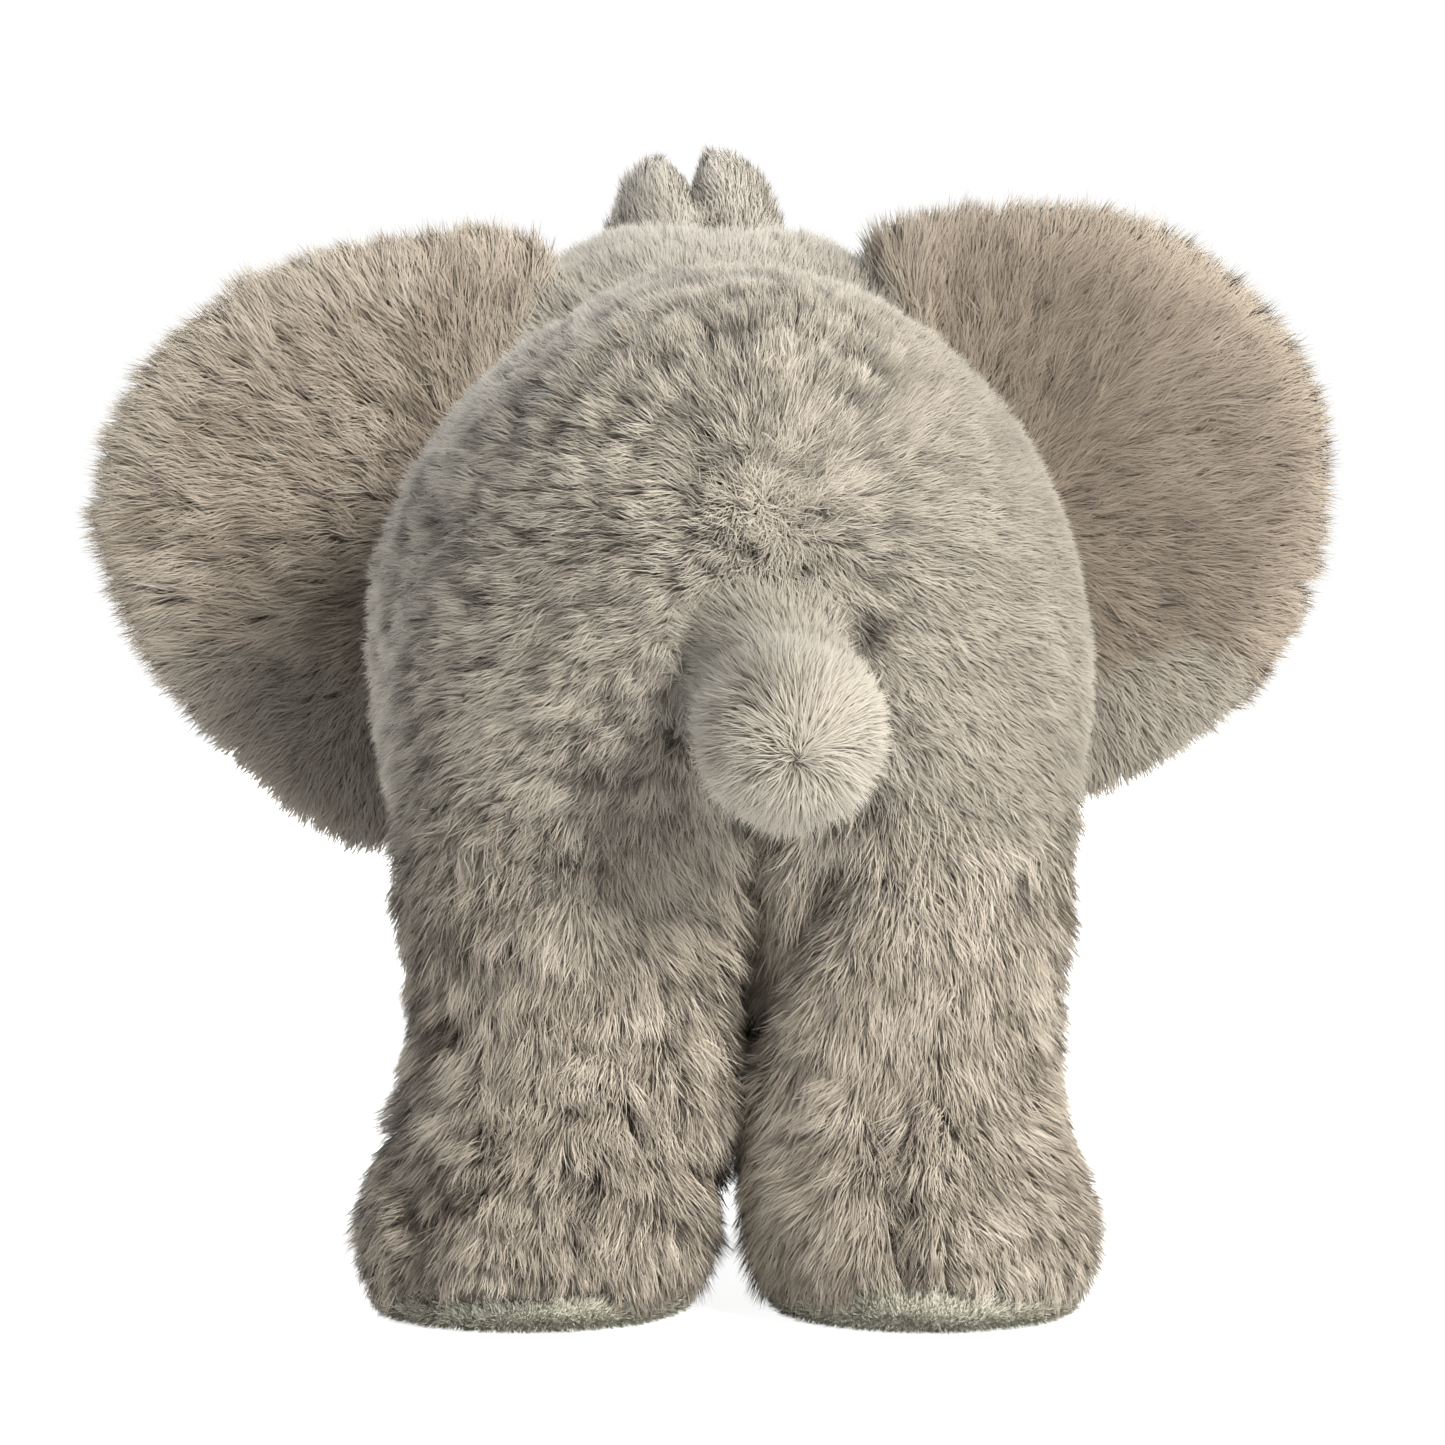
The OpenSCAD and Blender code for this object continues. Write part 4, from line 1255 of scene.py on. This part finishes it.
def strands(name, p, n):
    """Points, shading normals and tone of every strand, five points to a strand."""
    pile = PILE[name]
    count = len(p)
    whorl = whorl_near(name, p)
    rough = ruffled(name, p) * (1 - 0.6 * whorl)
    on_tail = name == "tail"
    # Tufts: strands in one small cell share a turn, a length and a lift
    warp = p + 1.2 * np.stack([noise(p, 4.5, 41 + k) for k in range(3)], 1)
    cell = np.floor(warp / pile.tuft).astype(np.int64)
    tuft_turn, tuft_long, tuft_lift = (cell_random(cell, seed) for seed in (51, 52, 53))
    # The way each strand lies
    swirl = np.stack([noise(p, 15, 61 + k) for k in range(3)], 1)
    swirl_share = 0.42 if name in hips else 0.6 if on_tail else 0.32
    t = flat_on(comb(name, p, n), n)
    t = t / np.maximum(np.linalg.norm(t, axis=1, keepdims=True), 0.35) + swirl_share * swirl
    t = unit(flat_on(t, n))
    loose = 1 + (1.2 if on_tail else 3.0) * whorl
    turn = np.radians((rng.normal(0, 13, count) + (tuft_turn - 0.5) * 44) * loose)[:, None]
    t = t * np.cos(turn) + np.cross(n, t) * np.sin(turn)
    long = pile.length * (0.78 + 0.34 * rng.random(count)) * (0.88 + 0.24 * tuft_long)
    long = (long * length_share(name, p))[:, None]
    # How steeply its two halves rise
    lift = (0.3 + 0.7 * rough) * ((tuft_lift - 0.5) * 26 + 22 * noise(p, 5, 71))
    lift = lift + (4 if on_tail else 14) * whorl
    if name == "head":
        lift = lift - 16 * on_face(p)
    low = np.radians(pile.rise_low + rng.normal(0, 7, count) + lift)[:, None]
    top = np.radians(pile.rise_top + rng.normal(0, 8, count) + lift)[:, None]
    if name in EAR_SIDE:
        low = low * (1 - 0.3 * rim_near(name, p))[:, None]
    low_dir = t * np.cos(low) + n * np.sin(low)
    top_dir = t * np.cos(top) + n * np.sin(top)
    gather = flat_on((cell + 0.5) * pile.tuft - p, n) * (pile.close_up * (0.8 + 0.9 * rough))[:, None]
    mid = p + low_dir * long * 0.5 + gather * 0.35
    tip = p + (low_dir + top_dir) * long * 0.5 + gather + 0.12 * rng.normal(0, 1, (count, 3))
    # Its flat side, and its shade between the skin's and its own
    roll = rng.normal(0, 0.6, count)[:, None]
    across = unit(np.cross(low_dir, n))
    across = across * np.cos(roll) + np.cross(low_dir, across) * np.sin(roll)
    half = across * (pile.width / 2 * (0.8 + 0.4 * rng.random(count)))[:, None]
    verts = np.stack([p - half, p + half, mid - half * 0.85, mid + half * 0.85, tip], 1)
    verts[:, :, 2] = np.maximum(verts[:, :, 2], 0.4)
    facet = unit(np.cross(across, low_dir))
    facet *= np.sign(np.sum(facet * n, axis=1))[:, None]
    shade = unit(0.72 * n + 0.28 * facet + 0.10 * t)
    tone = tone_of(name, p) + (0.05 + 0.5 * rough) * (tuft_long - 0.5)
    tone = tone + rng.normal(0, 1, count) * (0.03 + 0.15 * rough)
    return verts, shade, np.clip(tone, 0.01, 0.99)


def fur_object(label, verts, shade, tone, short, mat):
    """One mesh of strands: a quad and a triangle each, or one narrow triangle where short is true."""
    is_long = ~short
    longs, shorts = int(is_long.sum()), int(short.sum())
    co = np.concatenate([verts[is_long].reshape(-1, 3), verts[short][:, [0, 1, 4]].reshape(-1, 3)])
    direction = np.concatenate([np.repeat(shade[is_long], 5, axis=0), np.repeat(shade[short], 3, axis=0)])
    corners = np.concatenate([
        (5 * np.arange(longs)[:, None] + np.array([[0, 1, 3, 2, 2, 3, 4]])).ravel(),
        (5 * longs + 3 * np.arange(shorts)[:, None] + np.array([[0, 1, 2]])).ravel(),
    ])
    starts = np.concatenate([
        (7 * np.arange(longs)[:, None] + np.array([[0, 4]])).ravel(),
        7 * longs + 3 * np.arange(shorts),
    ])
    obj = mesh_object(label, co, corners, starts)
    # The material reads each strand's tone, and how far along it a point is
    layer = obj.data.uv_layers.new(name="OFBake")
    tones = np.concatenate([np.repeat(tone[is_long], 7), np.repeat(tone[short], 3)])
    along = np.concatenate([
        np.tile([0.02, 0.02, 0.5, 0.5, 0.5, 0.5, 0.98], longs), np.tile([0.1, 0.1, 0.75], shorts),
    ])
    layer.data.foreach_set("uv", np.stack([tones, along], 1).astype(np.float32).ravel())
    set_normals(obj.data, direction)
    obj.data.materials.append(mat)
    return obj


def grow(name, wears, p, n, place):
    """Makes the pile of some roots on one region, in as many pieces as their number needs."""
    verts, shade, tone = strands(wears, p, n)
    short = rng.random(len(p)) < UNDER / (1 + UNDER)
    root = verts[:, :2].mean(1, keepdims=True)
    under = root + (verts - root) * UNDER_LONG
    under[:, :2] = root + (verts[:, :2] - root) * UNDER_WIDE
    verts = np.where(short[:, None, None], under, verts)
    tone = np.where(short, np.clip(tone - 0.04, 0.01, 0.99), tone)
    pieces = max(1, math.ceil((3 * np.sum(~short) + np.sum(short)) / MOST))
    order = np.argsort(p[:, 0] + (p[:, 1] if name != "torso" else 0), kind="stable")
    label = f"pile_{name}" + ("" if wears == name else f"_by_{wears}")
    coat = COAT[wears]
    for k, ids in enumerate(np.array_split(order, pieces)):
        part = label + (f"_{k + 1}" if pieces > 1 else "")
        obj = fur_object(part, verts[ids], shade[ids], tone[ids], short[ids], FUR[coat])
        place(obj)


def density_of(name):
    """All strands to a square mm."""
    return PILE[name].density * (1 + UNDER) * THIN


def grow_region(name):
    """The pile of one region of the skin."""
    p, n = scatter(points, quads[region == NUMBER[name]], normals, density_of(name))
    if name in hips:
        # The foot's long pile stops above its sole
        open_here = p[:, 2] > 3.6 + 4.6 * sole_shows(name, p) + 1.2 * noise(p, 6, 81)
        p, n = p[open_here], n[open_here]
    style = styled_as(name, p)
    for worn in np.unique(style):
        ids = style == worn
        grow(name, REGIONS[worn], p[ids], n[ids], lambda obj: bend(obj, name))


for name in REGIONS:
    grow_region(name)

# ---------------------------------------------------------------------------
# Soles, mouth and eyes
# ---------------------------------------------------------------------------

# The sole's edge, from its underside up to where the foot hides it: the share of its radius, and
# the height
SOLE_EDGE = ((0.7, 0.8), (0.93, 0.9), (0.98, 1.8), (1, 3.4), (0.99, 5.4), (0.95, 8.0), (0.8, 9.4))
# The radius at the middle of a round form, where it closes
POINT = 0.01


def lathe(profile, centre, steps, wobble, seed):
    """A round form from (radius, height) pairs, with a slightly uneven edge."""
    verts, rows = [], len(profile)
    for k in range(steps):
        a = 2 * math.pi * k / steps
        u = 1 + wobble * (math.sin(2 * a + seed) + 0.6 * math.sin(3 * a + 2 * seed))
        for r, h in profile:
            verts.append([centre[0] + r * u * math.cos(a), centre[1] + r * u * math.sin(a), centre[2] + h])
    faces = []
    for k in range(steps):
        for i in range(rows - 1):
            a, b = k * rows + i, (k + 1) % steps * rows + i
            faces.append([a, b, b + 1, a + 1])
    return np.array(verts), np.array(faces)


def make_sole(name, seed):
    """The sole of one leg, a thin pad with a short pile of its own."""
    end = name.removeprefix("leg_")
    xs, rs = LEG_SHAPES[name]
    r = rs[0] - 0.6
    profile = [(POINT, 0.8)] + [(r * share, height) for share, height in SOLE_EDGE] + [(POINT, 9.8)]
    centre = (xs[0], hips[name][1] + FOOT_BACK[name], 0.0)
    v, f = lathe(profile, centre, 72, 0.012, seed)
    obj = new_mesh("sole_piece_" + end, v, f)
    obj.data.materials.append(SOLE)
    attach(obj, name)
    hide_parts("sole_" + end)
    p, n = scatter(v, f, vertex_normals(v, f), density_of("sole"))
    outside = p[:, 2] < 8.5
    grow("sole_" + end, "sole", p[outside], n[outside], lambda piece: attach(piece, name))


def make_mouth():
    """A small flat pad of pink cloth between the lip and the trunk's root."""
    low, high = node_box("mouth_lining")
    centre = (low + high) / 2 + np.array([0, 2.5, 0])
    profile = [(POINT, -0.9), (4.4, -0.7), (5.5, 0), (4.4, 0.9), (POINT, 1.4)]
    obj = new_mesh("mouth_piece", *lathe(profile, centre, 40, 0.02, 1))
    obj.data.materials.append(MOUTH)
    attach(obj, "head")
    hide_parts("mouth_lining")


for seed, name in enumerate(hips):
    make_sole(name, seed)
make_mouth()
for node_name, node in frame["nodes"].items():
    if not node.hide_render:
        is_washer = "washer" in node_name
        node.data.materials.clear()
        node.data.materials.append(WASHER if is_washer else EYE)
